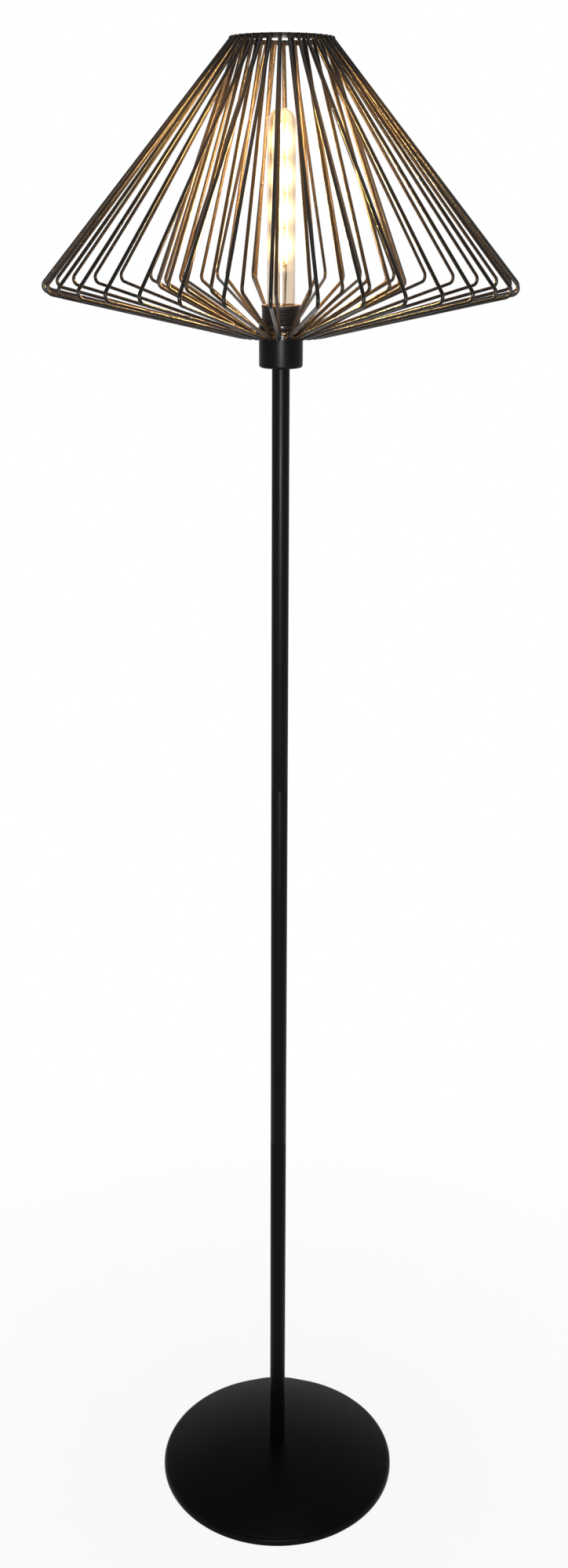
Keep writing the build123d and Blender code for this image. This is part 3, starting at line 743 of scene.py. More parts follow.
class LAMP_OT_base_cover(bpy.types.Operator):
    """Spun cover of the base: a shallow dome over a short turned-down lip, notched for the cable bush"""

    bl_idname = "floor_lamp.base_cover"
    bl_label = "Base Cover"

    def execute(self, context):
        """Turns the cover's outline and lifts the lip's lower edge over the notch.

        The dome is a sphere on the lamp's axis through the edges of the lip and of the land. The notch is an
        arch: inside its radius the lower edge of the lip rises to sqrt(radius^2 - x^2) above the bush's axis,
        and the rows above it close up evenly below the edge of the dome. Round the notch the lip's rounded
        edge grows tighter, by a smooth step of the angle to the notch.
        """
        sizes = context.scene.lamp_base
        half = math.asin(sizes.notch_radius / cover_radius)
        beside = 1.001 * half
        fine = TURN / 4 + np.concatenate([[-beside], np.linspace(-1, 1, 25) * half, [beside]])
        plain = round_angles(240)
        plain = plain[np.abs(plain - TURN / 4) > 1.3 * half]
        angles = np.sort(np.concatenate([plain, fine]))
        away = smooth_step(np.abs(angles - TURN / 4), 3 * half, 12 * half)[None, :, None]
        wide = turned(self.outline(sizes, sizes.lip_round), angles)
        tight = turned(self.outline(sizes, sizes.notch_round), angles)
        grid = tight + (wide - tight) * away
        x, y, z = grid[..., 0], grid[..., 1], grid[..., 2]
        ceiling = sizes.lip_height - sizes.notch_round / 2
        square = sizes.notch_radius**2 - x**2
        arch = np.where(square > -1e-12, sizes.notch_height + np.sqrt(np.maximum(square, 0)), cover_bottom)
        near_lip = (y > 0) & (z < ceiling) & (np.hypot(x, y) > cover_radius - 1.5 * sizes.cover_wall)
        lifted = arch + (z - cover_bottom) * (ceiling - arch) / (ceiling - cover_bottom)
        grid[..., 2] = np.where(near_lip & (arch > cover_bottom), lifted, z)
        place("spun_base_cover", grid, "stand", "black_paint", ["base_cover"])
        return {"FINISHED"}

    def outline(self, sizes, round_radius):
        """The cover's section, up its outside and down its inside, with one radius for the lip's edge.

        The rounded edge touches the lip and the dome, so its centre is one radius inside both.
        """
        outer, wall, land = cover_radius, sizes.cover_wall, sizes.land_radius
        land_edge = 0.0008
        drop = cover_top - sizes.lip_height
        centre = (outer**2 + sizes.lip_height**2 - land**2 - cover_top**2) / (-2 * drop)
        sphere = math.hypot(outer, sizes.lip_height - centre)

        def dome(radius, first, last, steps):
            """Points of a sphere about the dome's centre between two distances from the axis."""
            distance = np.linspace(first, last, steps)
            return np.stack([distance, centre + np.sqrt(radius**2 - distance**2)], axis=1)

        edge = np.array([outer - round_radius, 0.0])
        edge[1] = centre + math.sqrt((sphere - round_radius) ** 2 - edge[0] ** 2)
        turn = np.linspace(0, math.atan2(edge[1] - centre, edge[0]), 9)[:, None]
        corner = np.hstack([np.cos(turn), np.sin(turn)])
        outside = edge + round_radius * corner
        inside = edge + (round_radius - wall) * corner
        return np.concatenate(
            [
                [(outer - wall / 3, cover_bottom)],
                straight((outer, cover_bottom + wall / 3), outside[0], 5)[:-1],
                outside,
                dome(sphere, outside[-1][0], land, 40)[1:],
                [(land - land_edge, cover_top), (sizes.hole_radius, cover_top)],
                [(sizes.hole_radius, cover_top - wall), (land, cover_top - wall)],
                dome(sphere - wall, land, inside[-1][0], 24)[1:-1],
                inside[::-1],
                straight(inside[0], (outer - wall, cover_bottom + wall / 3), 5)[1:],
                [(outer - 2 * wall / 3, cover_bottom)],
            ]
        )


class LAMP_OT_base_pad(bpy.types.Operator):
    """Round floor pad under the weight, with eased edges"""

    bl_idname = "floor_lamp.base_pad"
    bl_label = "Floor Pad"

    def execute(self, context):
        """Turns a flat outline whose two corners are eased, closed on the axis at top and bottom."""
        lower_round, upper_round = 0.0007, 0.0005
        section = strip(0, pad_radius, pad_bottom, pad_top)
        grid = lathed(section, (0, lower_round, upper_round, 0), 4, 160)
        place("floor_pad", grid, "stand", "pad_rubber", ["base_pad"], close_rows=False)
        return {"FINISHED"}


class LAMP_OT_cord_bush(bpy.types.Operator):
    """Moulded bush in the notch at the back of the base, with a flange on each side of the lip"""

    bl_idname = "floor_lamp.cord_bush"
    bl_label = "Cable Bush"

    def execute(self, context):
        """Carries a rounded loop along the bush's axis, which runs along Y.

        A loop is x = width c |c|^(e-1), z = height s |s|^(e-1) with c and s the cosine and sine of the turn:
        the exponent e is 1 for a circle and less than 1 for a rounded rectangle.
        """
        sizes = context.scene.lamp_base
        low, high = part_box("cord_bush")
        front, back = float(low[1]), float(high[1])
        clearance, edge, hole_edge, hole_ease = 0.00015, 0.0004, 0.0002, 0.0003
        rounded, circle = 0.5, 1.0
        thick, hole = sizes.bush_flange_thickness, sizes.bush_hole
        body = sizes.notch_radius - clearance
        wide, tall = sizes.notch_radius + sizes.bush_flange, sizes.notch_radius

        def flange(first, last):
            """The loops of a flange between two places along the axis, with its edges eased."""
            return [
                (first, wide - edge, tall - edge, rounded),
                (first + edge, wide, tall, rounded),
                (last - edge, wide, tall, rounded),
                (last, wide - edge, tall - edge, rounded),
            ]

        stations = [
            *flange(front, front + thick),
            (front + thick, body, body, circle),
            (back - thick, body, body, circle),
            *flange(back - thick, back),
            (back, hole + hole_edge, hole + hole_edge, circle),
            (back - hole_ease, hole, hole, circle),
            (front + hole_ease, hole, hole, circle),
            (front, hole + hole_edge, hole + hole_edge, circle),
        ]
        depth, width, height, exponent = np.array(stations).T[:, :, None]
        turn = round_angles(48)[None]
        cosine, sine = np.cos(turn), np.sin(turn)
        x = width * np.sign(cosine) * np.abs(cosine) ** exponent
        z = height * np.sign(sine) * np.abs(sine) ** exponent + sizes.notch_height
        grid = np.stack([x, depth + 0 * turn, z], axis=-1)
        place("moulded_cord_bush", grid, "stand", "black_plastic", ["cord_bush"])
        return {"FINISHED"}


class LAMP_OT_pole(bpy.types.Operator):
    """The pole's three tubes, whose eased ends show as two fine seams"""

    bl_idname = "floor_lamp.pole"
    bl_label = "Pole Tubes"

    def execute(self, context):
        """Turns a tall thin rectangle for each tube, with its outer corners eased."""
        sizes = context.scene.lamp_pole
        bore, seam = tube_radius - sizes.tube_wall, sizes.seam_round
        for name in ("lower_tube", "middle_tube", "upper_tube"):
            _, bottom, top = reach(name)
            grid = lathed(strip(bore, tube_radius, bottom, top), (0, seam, seam, 0), 4, 96)
            place(f"drawn_{name}", grid, "stand", "black_paint", [name])
        return {"FINISHED"}


class LAMP_OT_holder_cup(bpy.types.Operator):
    """Drawn cup under the cage, with a rounded foot"""

    bl_idname = "floor_lamp.holder_cup"
    bl_label = "Holder Cup"

    def execute(self, context):
        """Turns the section of a cup: wall and floor of one thickness, with an eased foot inside and out."""
        sizes = context.scene.lamp_pole
        wall, foot, lip = sizes.cup_wall, sizes.cup_foot_round, sizes.cup_lip_round
        corners = [
            (sizes.cup_hole, cup_bottom),
            (cup_radius, cup_bottom),
            (cup_radius, cup_top),
            (cup_radius - wall, cup_top),
            (cup_radius - wall, cup_bottom + wall),
            (sizes.cup_hole, cup_bottom + wall),
        ]
        grid = lathed(corners, (0, foot, lip, lip, foot - wall, 0), 8, 128)
        place("drawn_holder_cup", grid, "stand", "black_paint", ["holder_cup"])
        return {"FINISHED"}


class LAMP_OT_holder_skirt(bpy.types.Operator):
    """Lampholder skirt with its outer thread and rounded mouth"""

    bl_idname = "floor_lamp.holder_skirt"
    bl_label = "Holder Skirt"

    def execute(self, context):
        """Turns the skirt's section and presses the thread into its outer rows."""
        sizes = context.scene.lamp_holder
        bore = skirt_radius - sizes.skirt_wall
        mouth = skirt_top - sizes.mouth_thickness
        thread_top = skirt_top - sizes.plain_rim
        inner_round, under_round = 0.0009, 0.0004
        side = straight((skirt_radius, skirt_bottom), (skirt_radius, thread_top), 130)
        rest = [
            side[-1],
            (skirt_radius, skirt_top),
            (sizes.mouth_radius, skirt_top),
            (sizes.mouth_radius, mouth),
            (bore, mouth),
            (bore, skirt_bottom),
        ]
        rim = eased(rest, (0, sizes.mouth_round, inner_round, under_round, 0, 0), 8)[1:]
        grid = turned(np.concatenate([side, rim]), round_angles(120))
        pitch, rows = sizes.thread_pitch, slice(0, len(side))
        grid = threaded(grid, pitch, sizes.thread_depth, skirt_bottom, thread_top, pitch / 2, rows)
        place("threaded_holder_skirt", grid, "stand", "black_phenolic", ["lampholder_skirt"])
        return {"FINISHED"}


class LAMP_OT_screw_shell(bpy.types.Operator):
    """Brass screw shell inside the lampholder"""

    bl_idname = "floor_lamp.screw_shell"
    bl_label = "Screw Shell"

    def execute(self, context):
        """Turns a thin tall wall and presses the same thread into its outer and inner rows."""
        sizes, bulb = context.scene.lamp_holder, context.scene.lamp_bulb
        inner = shell_radius - sizes.shell_wall
        clearance, run_out = 0.0003, 0.0015
        outside = straight((shell_radius, shell_bottom), (shell_radius, shell_top), 90)
        inside = straight((inner, shell_top), (inner, shell_bottom), 90)
        grid = turned(np.concatenate([outside, inside]), round_angles(96))
        depth = inner - (cap_radius + clearance)
        grid = threaded(grid, bulb.cap_pitch, depth, shell_bottom + 0.002, shell_top - 0.001, run_out)
        place("rolled_screw_shell", grid, "stand", "brass", ["screw_shell"])
        return {"FINISHED"}


class LAMP_OT_shade_ring(bpy.types.Operator):
    """Glossy ring that clamps the cage on the lampholder"""

    bl_idname = "floor_lamp.shade_ring"
    bl_label = "Shade Ring"

    def execute(self, context):
        """Turns the ring's section, with a shallow groove about a fifth of the way up its outside."""
        sizes = context.scene.lamp_holder
        groove = nut_bottom + 0.22 * (nut_top - nut_bottom)
        half_groove, groove_depth = 0.0003, 0.00025
        foot_round, bore_round = 0.0003, 0.0004
        corners = [
            (sizes.ring_bore, nut_bottom),
            (nut_radius, nut_bottom),
            (nut_radius, groove - half_groove),
            (nut_radius - groove_depth, groove),
            (nut_radius, groove + half_groove),
            (nut_radius, nut_top),
            (sizes.ring_bore, nut_top),
        ]
        radii = (foot_round, foot_round, 0, 0, 0, sizes.ring_round, bore_round)
        grid = lathed(corners, radii, 8, 128)
        place("moulded_shade_ring", grid, "shade_ring", "ring_phenolic", ["shade_ring"])
        return {"FINISHED"}


class LAMP_OT_hub_plate(bpy.types.Operator):
    """Pressed plate in the middle of the cage, with a turned-down flange"""

    bl_idname = "floor_lamp.hub_plate"
    bl_label = "Hub Plate"

    def execute(self, context):
        """Turns the section of the plate and its flange, with the pressed shoulder eased inside and out."""
        sizes = context.scene.lamp_cage
        wall, edge, lower_edge = sizes.plate_thickness, 0.0004, 0.0003
        corners = [
            (sizes.plate_hole, hub_top - wall),
            (hub_radius - wall, hub_top - wall),
            (hub_radius - wall, hub_bottom),
            (hub_radius, hub_bottom),
            (hub_radius, hub_top),
            (sizes.plate_hole, hub_top),
        ]
        grid = lathed(corners, (lower_edge, edge, edge, edge, sizes.plate_round, edge), 8, 144)
        place("pressed_hub_plate", grid, "cage", "cage_paint", ["hub_plate"])
        return {"FINISHED"}


class LAMP_OT_top_ring(bpy.types.Operator):
    """Flat ring round the opening at the top of the cage"""

    bl_idname = "floor_lamp.top_ring"
    bl_label = "Top Ring"

    def execute(self, context):
        """Turns an upright strip with eased edges."""
        sizes = context.scene.lamp_cage
        inner = rim_radius - sizes.ring_thickness
        section = strip(inner, rim_radius, rim_bottom, rim_top)
        grid = lathed(section, (sizes.ring_round,) * 4, 5, 180)
        place("rolled_top_ring", grid, "cage", "cage_paint", ["top_ring"])
        return {"FINISHED"}


class LAMP_OT_cage_wires(bpy.types.Operator):
    """The cage's outer and inner wires, each bent from one round rod"""

    bl_idname = "floor_lamp.cage_wires"
    bl_label = "Cage Wires"

    def execute(self, context):
        """Carries a round section along each route and turns copies of it to all their places.

        A row says where its wires start on the top ring, the height of their ends in the hub, how far inside
        the hub's flange they end, and the sides of the section.
        """
        sizes = context.scene.lamp_cage
        wire = sizes.wire_radius
        lower_row = hub_bottom + sizes.row_lift + wire
        upper_row = lower_row + 2 * wire + sizes.row_gap
        rows = {
            "outer": (rim_radius + wire, lower_row, 0.0004, 12),
            "inner": (rim_radius - sizes.ring_thickness - wire, upper_row, 0.0016, 14),
        }
        for name, (top, row, inset, sides) in rows.items():
            end, corner_radius, corner_rise, bend, foot, copies = (
                getattr(sizes, f"{name}_{size}")
                for size in ("end", "corner_radius", "corner_rise", "bend", "foot", "count")
            )
            corner = (corner_radius, hub_bottom + corner_rise)
            points = [(top, rim_top), (top, rim_top - end), corner, (foot, row), (hub_radius - inset, row)]
            route = eased(points, (0, sizes.top_bend, bend, sizes.soft_bend, 0), 10)
            grid = spread(self.rod(sizes, route, sides), sizes.first_angle + round_angles(copies))
            place(f"bent_{name}_wires", grid, "cage", "cage_paint", [f"{name}_wires"], close_rows=False)
        return {"FINISHED"}

    def rod(self, sizes, route, sides):
        """One rod. Its ends are domed, and it thickens by a sixth into the weld at its foot.

        The radius along the rod is r sqrt(1 - (1 - d / e)^2) within e of an end at distance d, and otherwise
        r (1 + exp(-d / w) / 6) for a distance d to the foot.
        """
        dome, weld, spacing = 0.0006, 0.0012, 0.022
        near = dome * np.array([0.05, 0.18, 0.4, 0.7, 1.0, 2.0, 3.5, 5.5])
        route, along, whole = closer_rows(route, spacing, near)
        radius = sizes.wire_radius * (1 + np.exp((along - whole) / weld) / 6)
        for distance in (along, whole - along):
            share = np.clip(1 - distance / dome, 0, 1)
            radius = radius * np.sqrt(1 - share**2)
        return carried(route, radius, sides)


class LAMP_OT_weld_beads(bpy.types.Operator):
    """Small weld beads that hold the wires on the top ring"""

    bl_idname = "floor_lamp.weld_beads"
    bl_label = "Weld Beads"

    def execute(self, context):
        """Egg-shaped beads on both faces of the ring, one under each wire.

        A bead is centre + (a cos(u), b sin(u) cos(v), c sin(u) sin(v)), flattest along the radius.
        """
        sizes = context.scene.lamp_cage
        thick, wide, tall, proud = 0.0009, 0.0021, 0.0015, 0.0001
        around, over = round_angles(12)[None], np.linspace(0, math.pi, 8)[:, None]
        middle = (rim_top + rim_bottom) / 2
        inner_face = rim_radius - sizes.ring_thickness
        rows = (sizes.outer_count, rim_radius + proud), (sizes.inner_count, inner_face - proud)
        grids = []
        for copies, radius in rows:
            bead = np.stack(
                [
                    radius + thick * np.cos(over) + 0 * around,
                    wide * np.sin(over) * np.cos(around),
                    middle + tall * np.sin(over) * np.sin(around),
                ],
                axis=-1,
            )
            grids.append(spread(bead, sizes.first_angle + round_angles(copies)))
        place("ring_weld_beads", grids, "cage", "cage_paint", [], close_rows=False)
        return {"FINISHED"}


class LAMP_OT_bulb_glass(bpy.types.Operator):
    """Blown glass tube of the bulb, with a round top and a narrowed neck"""

    bl_idname = "floor_lamp.bulb_glass"
    bl_label = "Bulb Glass"

    def execute(self, context):
        """Turns the glass wall from the top of the dome down to the neck and back up inside.

        The dome is half a circle of the tube's radius. Between neck and tube the radius is a smooth step.
        """
        sizes = context.scene.lamp_bulb
        foot = glass_top - glass_radius

        def wall(offset):
            """One face of the glass, from the dome down to the neck, that far inside the outer face."""
            turn = np.linspace(math.pi / 2, 0, 25)
            tube = glass_radius - offset
            dome = np.stack([tube * np.cos(turn), foot + tube * np.sin(turn)], axis=1)
            dome[0, 0] = 0.0
            height = np.linspace(sizes.shoulder, cap_top, 12)
            share = smooth_step(height, cap_top, sizes.shoulder)
            neck = sizes.neck_radius + (glass_radius - sizes.neck_radius) * share - offset
            shoulder = np.stack([neck, height], axis=1)
            return np.concatenate([dome, shoulder, [(sizes.neck_radius - offset, glass_bottom)]])

        outline = np.concatenate([wall(0.0), wall(sizes.wall)[::-1]])
        grid = turned(outline, round_angles(96))
        place("blown_bulb_glass", grid, "bulb", "bulb_glass", ["bulb_glass"], close_rows=False)
        return {"FINISHED"}


class LAMP_OT_bulb_stem(bpy.types.Operator):
    """Glass stem of the bulb, flared at its foot and pinched flat at its top"""

    bl_idname = "floor_lamp.bulb_stem"
    bl_label = "Bulb Stem"

    def execute(self, context):
        """Turns the stem's outline, then flattens the top: x grows by a third and y shrinks by a half."""
        sizes = context.scene.lamp_bulb
        radius, foot_edge, top_round = sizes.stem_radius, 0.0008, 0.0015
        share = np.linspace(0, 1, 14)
        flare = radius + (stem_foot_radius - radius) * (1 - share) ** 3
        height = stem_bottom + foot_edge + share * (sizes.stem_foot_height - foot_edge)
        foot = np.stack([flare, height], axis=1)
        rise = straight((radius, foot[-1][1]), (radius, stem_top - top_round), 16)[1:]
        turn = np.linspace(0, math.pi / 2, 7)[1:]
        top = np.stack([radius * np.cos(turn), stem_top - top_round + top_round * np.sin(turn)], axis=1)
        top[-1, 0] = 0.0
        outline = np.concatenate([[(0, stem_bottom), (stem_foot_radius, stem_bottom)], foot, rise, top])
        grid = turned(outline, round_angles(40))
        pinch = smooth_step(grid[..., 2], stem_top - 0.014, stem_top - 0.004)
        grid[..., 0] *= 1 + pinch / 3
        grid[..., 1] *= 1 - pinch / 2
        place("drawn_bulb_stem", grid, "bulb", "bulb_glass", ["bulb_stem"], False, "stem_glass")
        return {"FINISHED"}


class LAMP_OT_filaments(bpy.types.Operator):
    """Lit filaments: straight coated sticks in tiers"""

    bl_idname = "floor_lamp.filaments"
    bl_label = "Filaments"

    def execute(self, context):
        """Carries a round section up each stick, domed at both ends, and turns copies round the axis."""
        sizes = context.scene.lamp_bulb
        radius, tall = sizes.filament_radius, sizes.filament_length
        near = radius * np.array([0.04, 0.15, 0.35, 0.65, 1.0])
        grids = []
        for tier in range(sizes.tiers):
            bottom = sizes.first_tier + tier * (tall + sizes.tier_gap)
            line = np.array([(sizes.filament_circle, bottom), (sizes.filament_circle, bottom + tall)])
            route, along, whole = closer_rows(line, tall / 3, near)
            share = np.clip(1 - np.minimum(along, whole - along) / radius, 0, 1)
            stick = carried(route, radius * np.sqrt(1 - share**2), 12)
            grids.append(spread(stick, round_angles(sizes.per_tier)))
        place("lit_filaments", grids, "bulb", "filament_coating", ["filaments"], close_rows=False)
        return {"FINISHED"}


class LAMP_OT_filament_supports(bpy.types.Operator):
    """Thin wires that carry the filaments: one up the middle and a cross between every two tiers"""

    bl_idname = "floor_lamp.filament_supports"
    bl_label = "Filament Supports"

    def execute(self, context):
        """Carries thin round sections along the middle wire, each bowed arm and each arm's pin."""
        sizes = context.scene.lamp_bulb
        radius, bow, half_pin = sizes.support_radius, 0.0005, 0.0014
        pitch = sizes.filament_length + sizes.tier_gap
        first = sizes.first_tier - sizes.tier_gap / 2
        last = first + sizes.tiers * pitch
        grids = [self.wire([(0.0, stem_top - 0.002), (0.0, last + radius)], radius * 1.4)[None]]
        turns = round_angles(sizes.per_tier)
        for level in range(sizes.tiers + 1):
            height = first + level * pitch
            share = np.linspace(0, 1, 7)
            arm = np.stack([share * sizes.filament_circle, height - bow * np.sin(math.pi * share)], axis=1)
            pin = [
                (sizes.filament_circle, height - (half_pin if level > 0 else radius)),
                (sizes.filament_circle, height + (half_pin if level < sizes.tiers else radius)),
            ]
            grids.append(spread(self.wire(arm, radius), turns))
            grids.append(spread(self.wire(pin, radius * 1.2), turns))
        place("filament_support_wires", grids, "bulb", "cap_nickel", ["filament_frame"], close_rows=False)
        return {"FINISHED"}

    def wire(self, points, radius):
        """A thin wire with domed ends."""
        near = radius * np.array([0.05, 0.3, 1.0])
        route, along, whole = closer_rows(np.asarray(points, float), 0.008, near)
        share = np.clip(1 - np.minimum(along, whole - along) / radius, 0, 1)
        return carried(route, radius * np.sqrt(1 - share**2), 8)


class LAMP_OT_bulb_cap(bpy.types.Operator):
    """Screw cap of the bulb, with the glass bead and the contact button under it"""

    bl_idname = "floor_lamp.bulb_cap"
    bl_label = "Bulb Cap"

    def execute(self, context):
        """Turns the cap's wall and presses the thread into both its faces, then turns bead and button."""
        sizes = context.scene.lamp_bulb
        wall, radius, inner_radius = sizes.cap_wall, cap_radius, cap_radius - sizes.cap_wall
        hole, foot_round, run_out = bead_radius - 0.0002, 0.001, 0.0015
        corners = [
            (hole, cap_bottom),
            (radius - 0.0022, cap_bottom),
            (radius, cap_bottom + 0.0026),
            (radius, cap_top),
        ]
        lower = eased(corners, (0, foot_round, foot_round, 0), 4)
        outside = straight(lower[-2], (radius, cap_top), 72)
        inside = straight((inner_radius, cap_top), (inner_radius, lower[-2][1]), 72)
        floor = [(radius - 0.0024, cap_bottom + wall), (hole, cap_bottom + wall)]
        grid = turned(np.concatenate([lower[:-1], outside[1:], inside, floor]), round_angles(96))
        low, high = cap_bottom + 0.0025, cap_top - run_out
        grid = threaded(grid, sizes.cap_pitch, sizes.cap_depth, low, high, run_out)
        place("rolled_bulb_cap", grid, "bulb", "cap_nickel", ["bulb_cap"])

        foot, foot_round, top_round = (button_radius + 0.0006, bead_bottom), 0.0012, 0.0006
        corners = [(0, bead_bottom), foot, (bead_radius, bead_top), (0, bead_top)]
        grid = lathed(corners, (0, foot_round, top_round, 0), 6, 64)
        place("cap_glass_bead", grid, "bulb", "insulator_glass", ["bulb_insulator"], close_rows=False)

        # The button's face bulges: its height follows a cosine of the distance from the axis.
        share, bulge = np.linspace(0, 1, 9), 0.0006
        height = button_bottom + bulge - bulge * np.cos(share * math.pi / 2)
        face = np.stack([button_radius * share, height], axis=1)
        outline = np.concatenate([face, [(button_radius, button_top), (0, button_top)]])
        grid = turned(outline, round_angles(40))
        place("cap_contact_button", grid, "bulb", "brass", ["bulb_tip"], close_rows=False)
        return {"FINISHED"}


class LAMP_OT_hidden_pieces(bpy.types.Operator):
    """Finishes of the pieces that keep the shape of their solids: weight, fasteners and holder insides"""

    bl_idname = "floor_lamp.hidden_pieces"
    bl_label = "Hidden Pieces"

    carried_over = {
        "base_weight": "cast_iron",
        "foot_stud": "zinc_steel",
        "foot_washer": "zinc_steel",
        "foot_nut": "zinc_steel",
        "tube_bushes": "zinc_steel",
        "joint_studs": "zinc_steel",
        "holder_nipple": "zinc_steel",
        "cup_nut": "zinc_steel",
        "lampholder_cap": "black_phenolic",
        "contact_block": "white_ceramic",
        "terminal_screws": "brass",
        "centre_contact": "brass",
        "side_contact": "brass",
    }

    def execute(self, context):
        """Sets the material slots of each such solid."""
        for node, name in self.carried_over.items():
            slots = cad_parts[node].material_slots
            if not len(slots):
                raise RuntimeError(f"{node} has no material slot")
            for slot in slots:
                slot.material = finish(name)
        return {"FINISHED"}


# --- Stage ------------------------------------------------------------------------------------------------


class LAMP_OT_stage(bpy.types.Operator):
    """Pale floor, soft studio light and the camera"""

    bl_idname = "floor_lamp.stage"
    bl_label = "Studio"

    def execute(self, context):
        """Builds floor, room light, panels and camera."""
        settings = context.scene.lamp_stage
        self.floor(context, settings)
        self.room(context, settings)
        self.panel(
            "front",
            spot=(0.03, -2.6, 1.22),
            target=(0.0, 0.0, 1.2),
            size=(0.6, 0.7),
            watts=settings.front_power,
            beam=settings.front_spread,
        )
        self.panel(
            "top", spot=(0.0, -0.15, 3.0), target=(0.0, -0.1, 0.0), size=(1.1, 0.9), watts=settings.top_power
        )
        self.camera(context, settings)
        context.scene.view_settings.view_transform = "Standard"
        return {"FINISHED"}

    def floor(self, context, settings):
        """A flat disc of rings whose radii grow evenly by ratio, so that it reaches past every view.

        Seen directly it is white, with a share of its own shade near the lamp and all of it under the base.
        """
        rings = np.concatenate([[0.0], np.geomspace(0.2, settings.floor_radius, 12)])
        outline = np.stack([rings, 0 * rings - 0.0002], axis=1)
        mesh = surface_mesh("studio_floor", [turned(outline, round_angles(64))], False)
        if mesh.polygons[0].normal.z < 0:
            mesh.flip_normals()
        material, tree, output, here = new_finish("studio_floor_paint")
        tone = noise(tree, here, scale=3.0, detail=2.0)
        colour = context.scene.lamp_colours.floor
        inputs = {
            "Base Color": blended(tree, tone, shade(colour, 0.99), shade(colour, 1.01)),
            "Roughness": 0.9,
            "Specular IOR Level": 0.0,
        }
        white = add_node(tree, "ShaderNodeEmission", {"Color": WHITE, "Strength": 1.0}).outputs[0]
        distance = length_of(tree, here)
        fade = ranged(tree, distance, (0.2, 0.9), (0.90, 1.0))
        clear_of_base = ranged(tree, distance, (0.134, 0.139), (0.0, 1.0))
        share = product(tree, seen_directly(tree), fade, clear_of_base)
        tree.links.new(mixed(tree, share, principled(tree, inputs), white), output.inputs[0])
        mesh.materials.append(material)
        floor = bpy.data.objects.new("studio_floor", mesh)
        context.scene.collection.objects.link(floor)

    def room(self, context, settings):
        """White where the camera or glass looks at it, and a plain even light otherwise.

        Gloss sees the same white backdrop, which darkens overhead as a studio's ceiling does.
        """
        world = bpy.data.worlds.new("studio_room")
        context.scene.world = world
        world.use_nodes = True
        tree = world.node_tree
        tree.nodes.clear()
        direction = add_node(tree, "ShaderNodeTexCoord").outputs["Generated"]
        ceiling = ranged(tree, height_of(tree, direction), (0.40, 0.75), (1.0, settings.ceiling))
        ray = add_node(tree, "ShaderNodeLightPath")
        gloss = product(tree, ray.outputs["Is Glossy Ray"], ceiling)
        direct = calculated(tree, "MAXIMUM", ray.outputs["Is Camera Ray"], ray.outputs["Is Transmission Ray"])
        seen = calculated(tree, "MAXIMUM", direct, gloss)
        strength = calculated(tree, "MAXIMUM", seen, settings.sky)
        light = add_node(tree, "ShaderNodeBackground", {"Color": WHITE, "Strength": strength})
        output = add_node(tree, "ShaderNodeOutputWorld")
        tree.links.new(light.outputs[0], output.inputs[0])

    def panel(self, name, spot, target, size, watts, beam=math.pi):
        """A rectangular soft light at a spot, turned towards a target, that shines into a beam's angle."""
        light = bpy.data.lights.new(f"{name}_panel", "AREA")
        light.shape = "RECTANGLE"
        light.size, light.size_y = size
        light.energy = watts
        light.spread = beam
        lamp = bpy.data.objects.new(light.name, light)
        bpy.context.scene.collection.objects.link(lamp)
        lamp.location = spot
        away = np.asarray(spot, float) - np.asarray(target, float)
        tilt = math.acos(away[2] / np.linalg.norm(away))
        lamp.rotation_euler = (tilt, 0.0, math.atan2(away[0], -away[1]))

    def camera(self, context, settings):
        """A camera on the lamp's front, tilted down, with the shift that the photograph's framing has."""
        data = bpy.data.cameras.new("studio_camera")
        data.lens = settings.lens
        data.sensor_width = 36.0
        data.shift_x = settings.shift_x
        data.shift_y = settings.shift_y
        camera = bpy.data.objects.new("studio_camera", data)
        context.scene.collection.objects.link(camera)
        camera.location = (0.0, -settings.camera_distance, settings.camera_height)
        camera.rotation_euler = (math.pi / 2 - settings.camera_pitch, settings.camera_roll, 0.0)
        context.scene.camera = camera


def seen_directly(tree):
    """One for rays from the camera, from gloss and through glass, and nought for all others."""
    ray = add_node(tree, "ShaderNodeLightPath")
    share = calculated(tree, "MAXIMUM", ray.outputs["Is Camera Ray"], ray.outputs["Is Glossy Ray"])
    return calculated(tree, "MAXIMUM", share, ray.outputs["Is Transmission Ray"])


# --- Add-on -----------------------------------------------------------------------------------------------

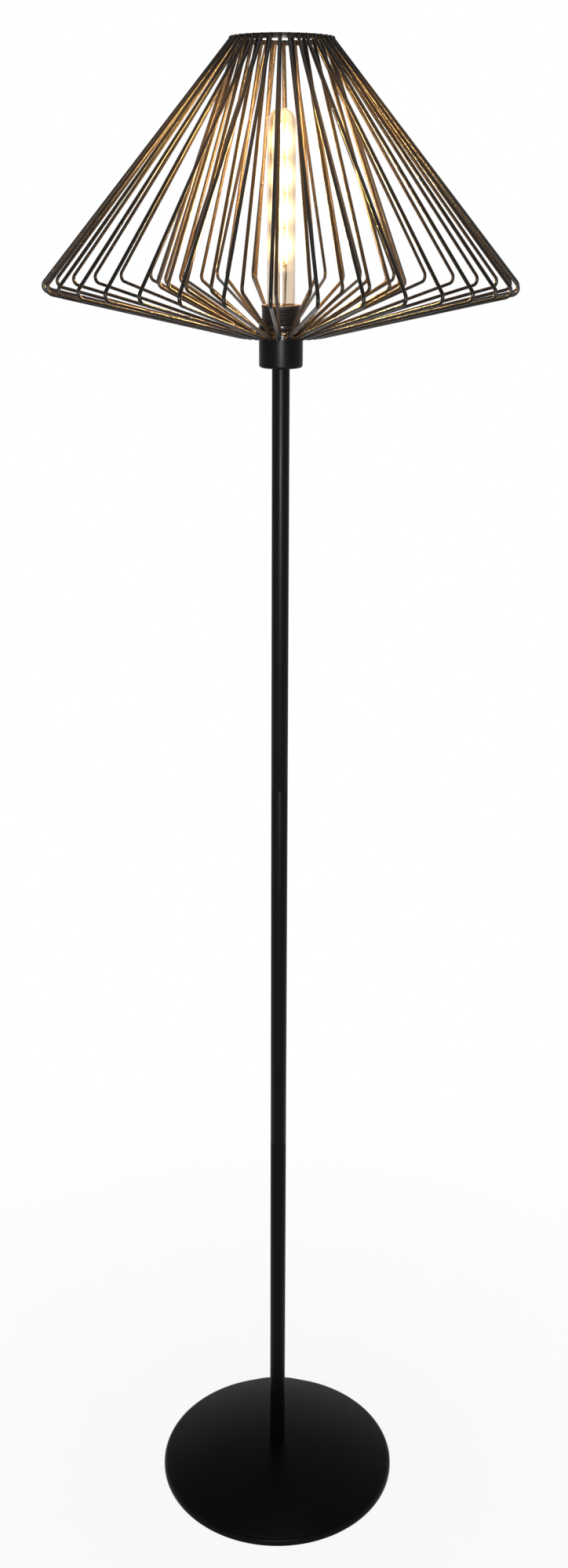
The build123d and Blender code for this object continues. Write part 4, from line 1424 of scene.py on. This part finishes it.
SETTINGS = {
    "lamp_base": LampBaseSettings,
    "lamp_pole": LampPoleSettings,
    "lamp_holder": LampHolderSettings,
    "lamp_cage": LampCageSettings,
    "lamp_bulb": LampBulbSettings,
    "lamp_colours": LampColours,
    "lamp_stage": LampStageSettings,
}

OPERATORS = (
    LAMP_OT_stage,
    LAMP_OT_base_cover,
    LAMP_OT_base_pad,
    LAMP_OT_cord_bush,
    LAMP_OT_pole,
    LAMP_OT_holder_cup,
    LAMP_OT_holder_skirt,
    LAMP_OT_screw_shell,
    LAMP_OT_shade_ring,
    LAMP_OT_hub_plate,
    LAMP_OT_top_ring,
    LAMP_OT_cage_wires,
    LAMP_OT_weld_beads,
    LAMP_OT_bulb_glass,
    LAMP_OT_bulb_stem,
    LAMP_OT_filaments,
    LAMP_OT_filament_supports,
    LAMP_OT_bulb_cap,
    LAMP_OT_hidden_pieces,
)


class LAMP_PT_panel(bpy.types.Panel):
    """Lists the lamp's operators and settings"""

    bl_idname = "LAMP_PT_panel"
    bl_label = "Floor Lamp"
    bl_space_type = "VIEW_3D"
    bl_region_type = "UI"
    bl_category = "Floor Lamp"

    def draw(self, context):
        """Shows a button for each operator, then each group of settings."""
        column = self.layout.column()
        for operator in OPERATORS:
            column.operator(operator.bl_idname)
        for name, group in SETTINGS.items():
            box = self.layout.box()
            settings = getattr(context.scene, name)
            for setting in group.__annotations__:
                box.prop(settings, setting)


def register():
    """Registers the settings, the operators and the panel."""
    for name, group in SETTINGS.items():
        bpy.utils.register_class(group)
        setattr(bpy.types.Scene, name, bpy.props.PointerProperty(type=group))
    for operator in OPERATORS:
        bpy.utils.register_class(operator)
    bpy.utils.register_class(LAMP_PT_panel)


def unregister():
    """Takes everything that register added away again."""
    bpy.utils.unregister_class(LAMP_PT_panel)
    for operator in reversed(OPERATORS):
        bpy.utils.unregister_class(operator)
    for name, group in SETTINGS.items():
        delattr(bpy.types.Scene, name)
        bpy.utils.unregister_class(group)


def main():
    """Builds everything in order."""
    register()
    for operator in OPERATORS:
        group, name = operator.bl_idname.split(".")
        getattr(getattr(bpy.ops, group), name)()


if __name__ == "__main__":
    main()
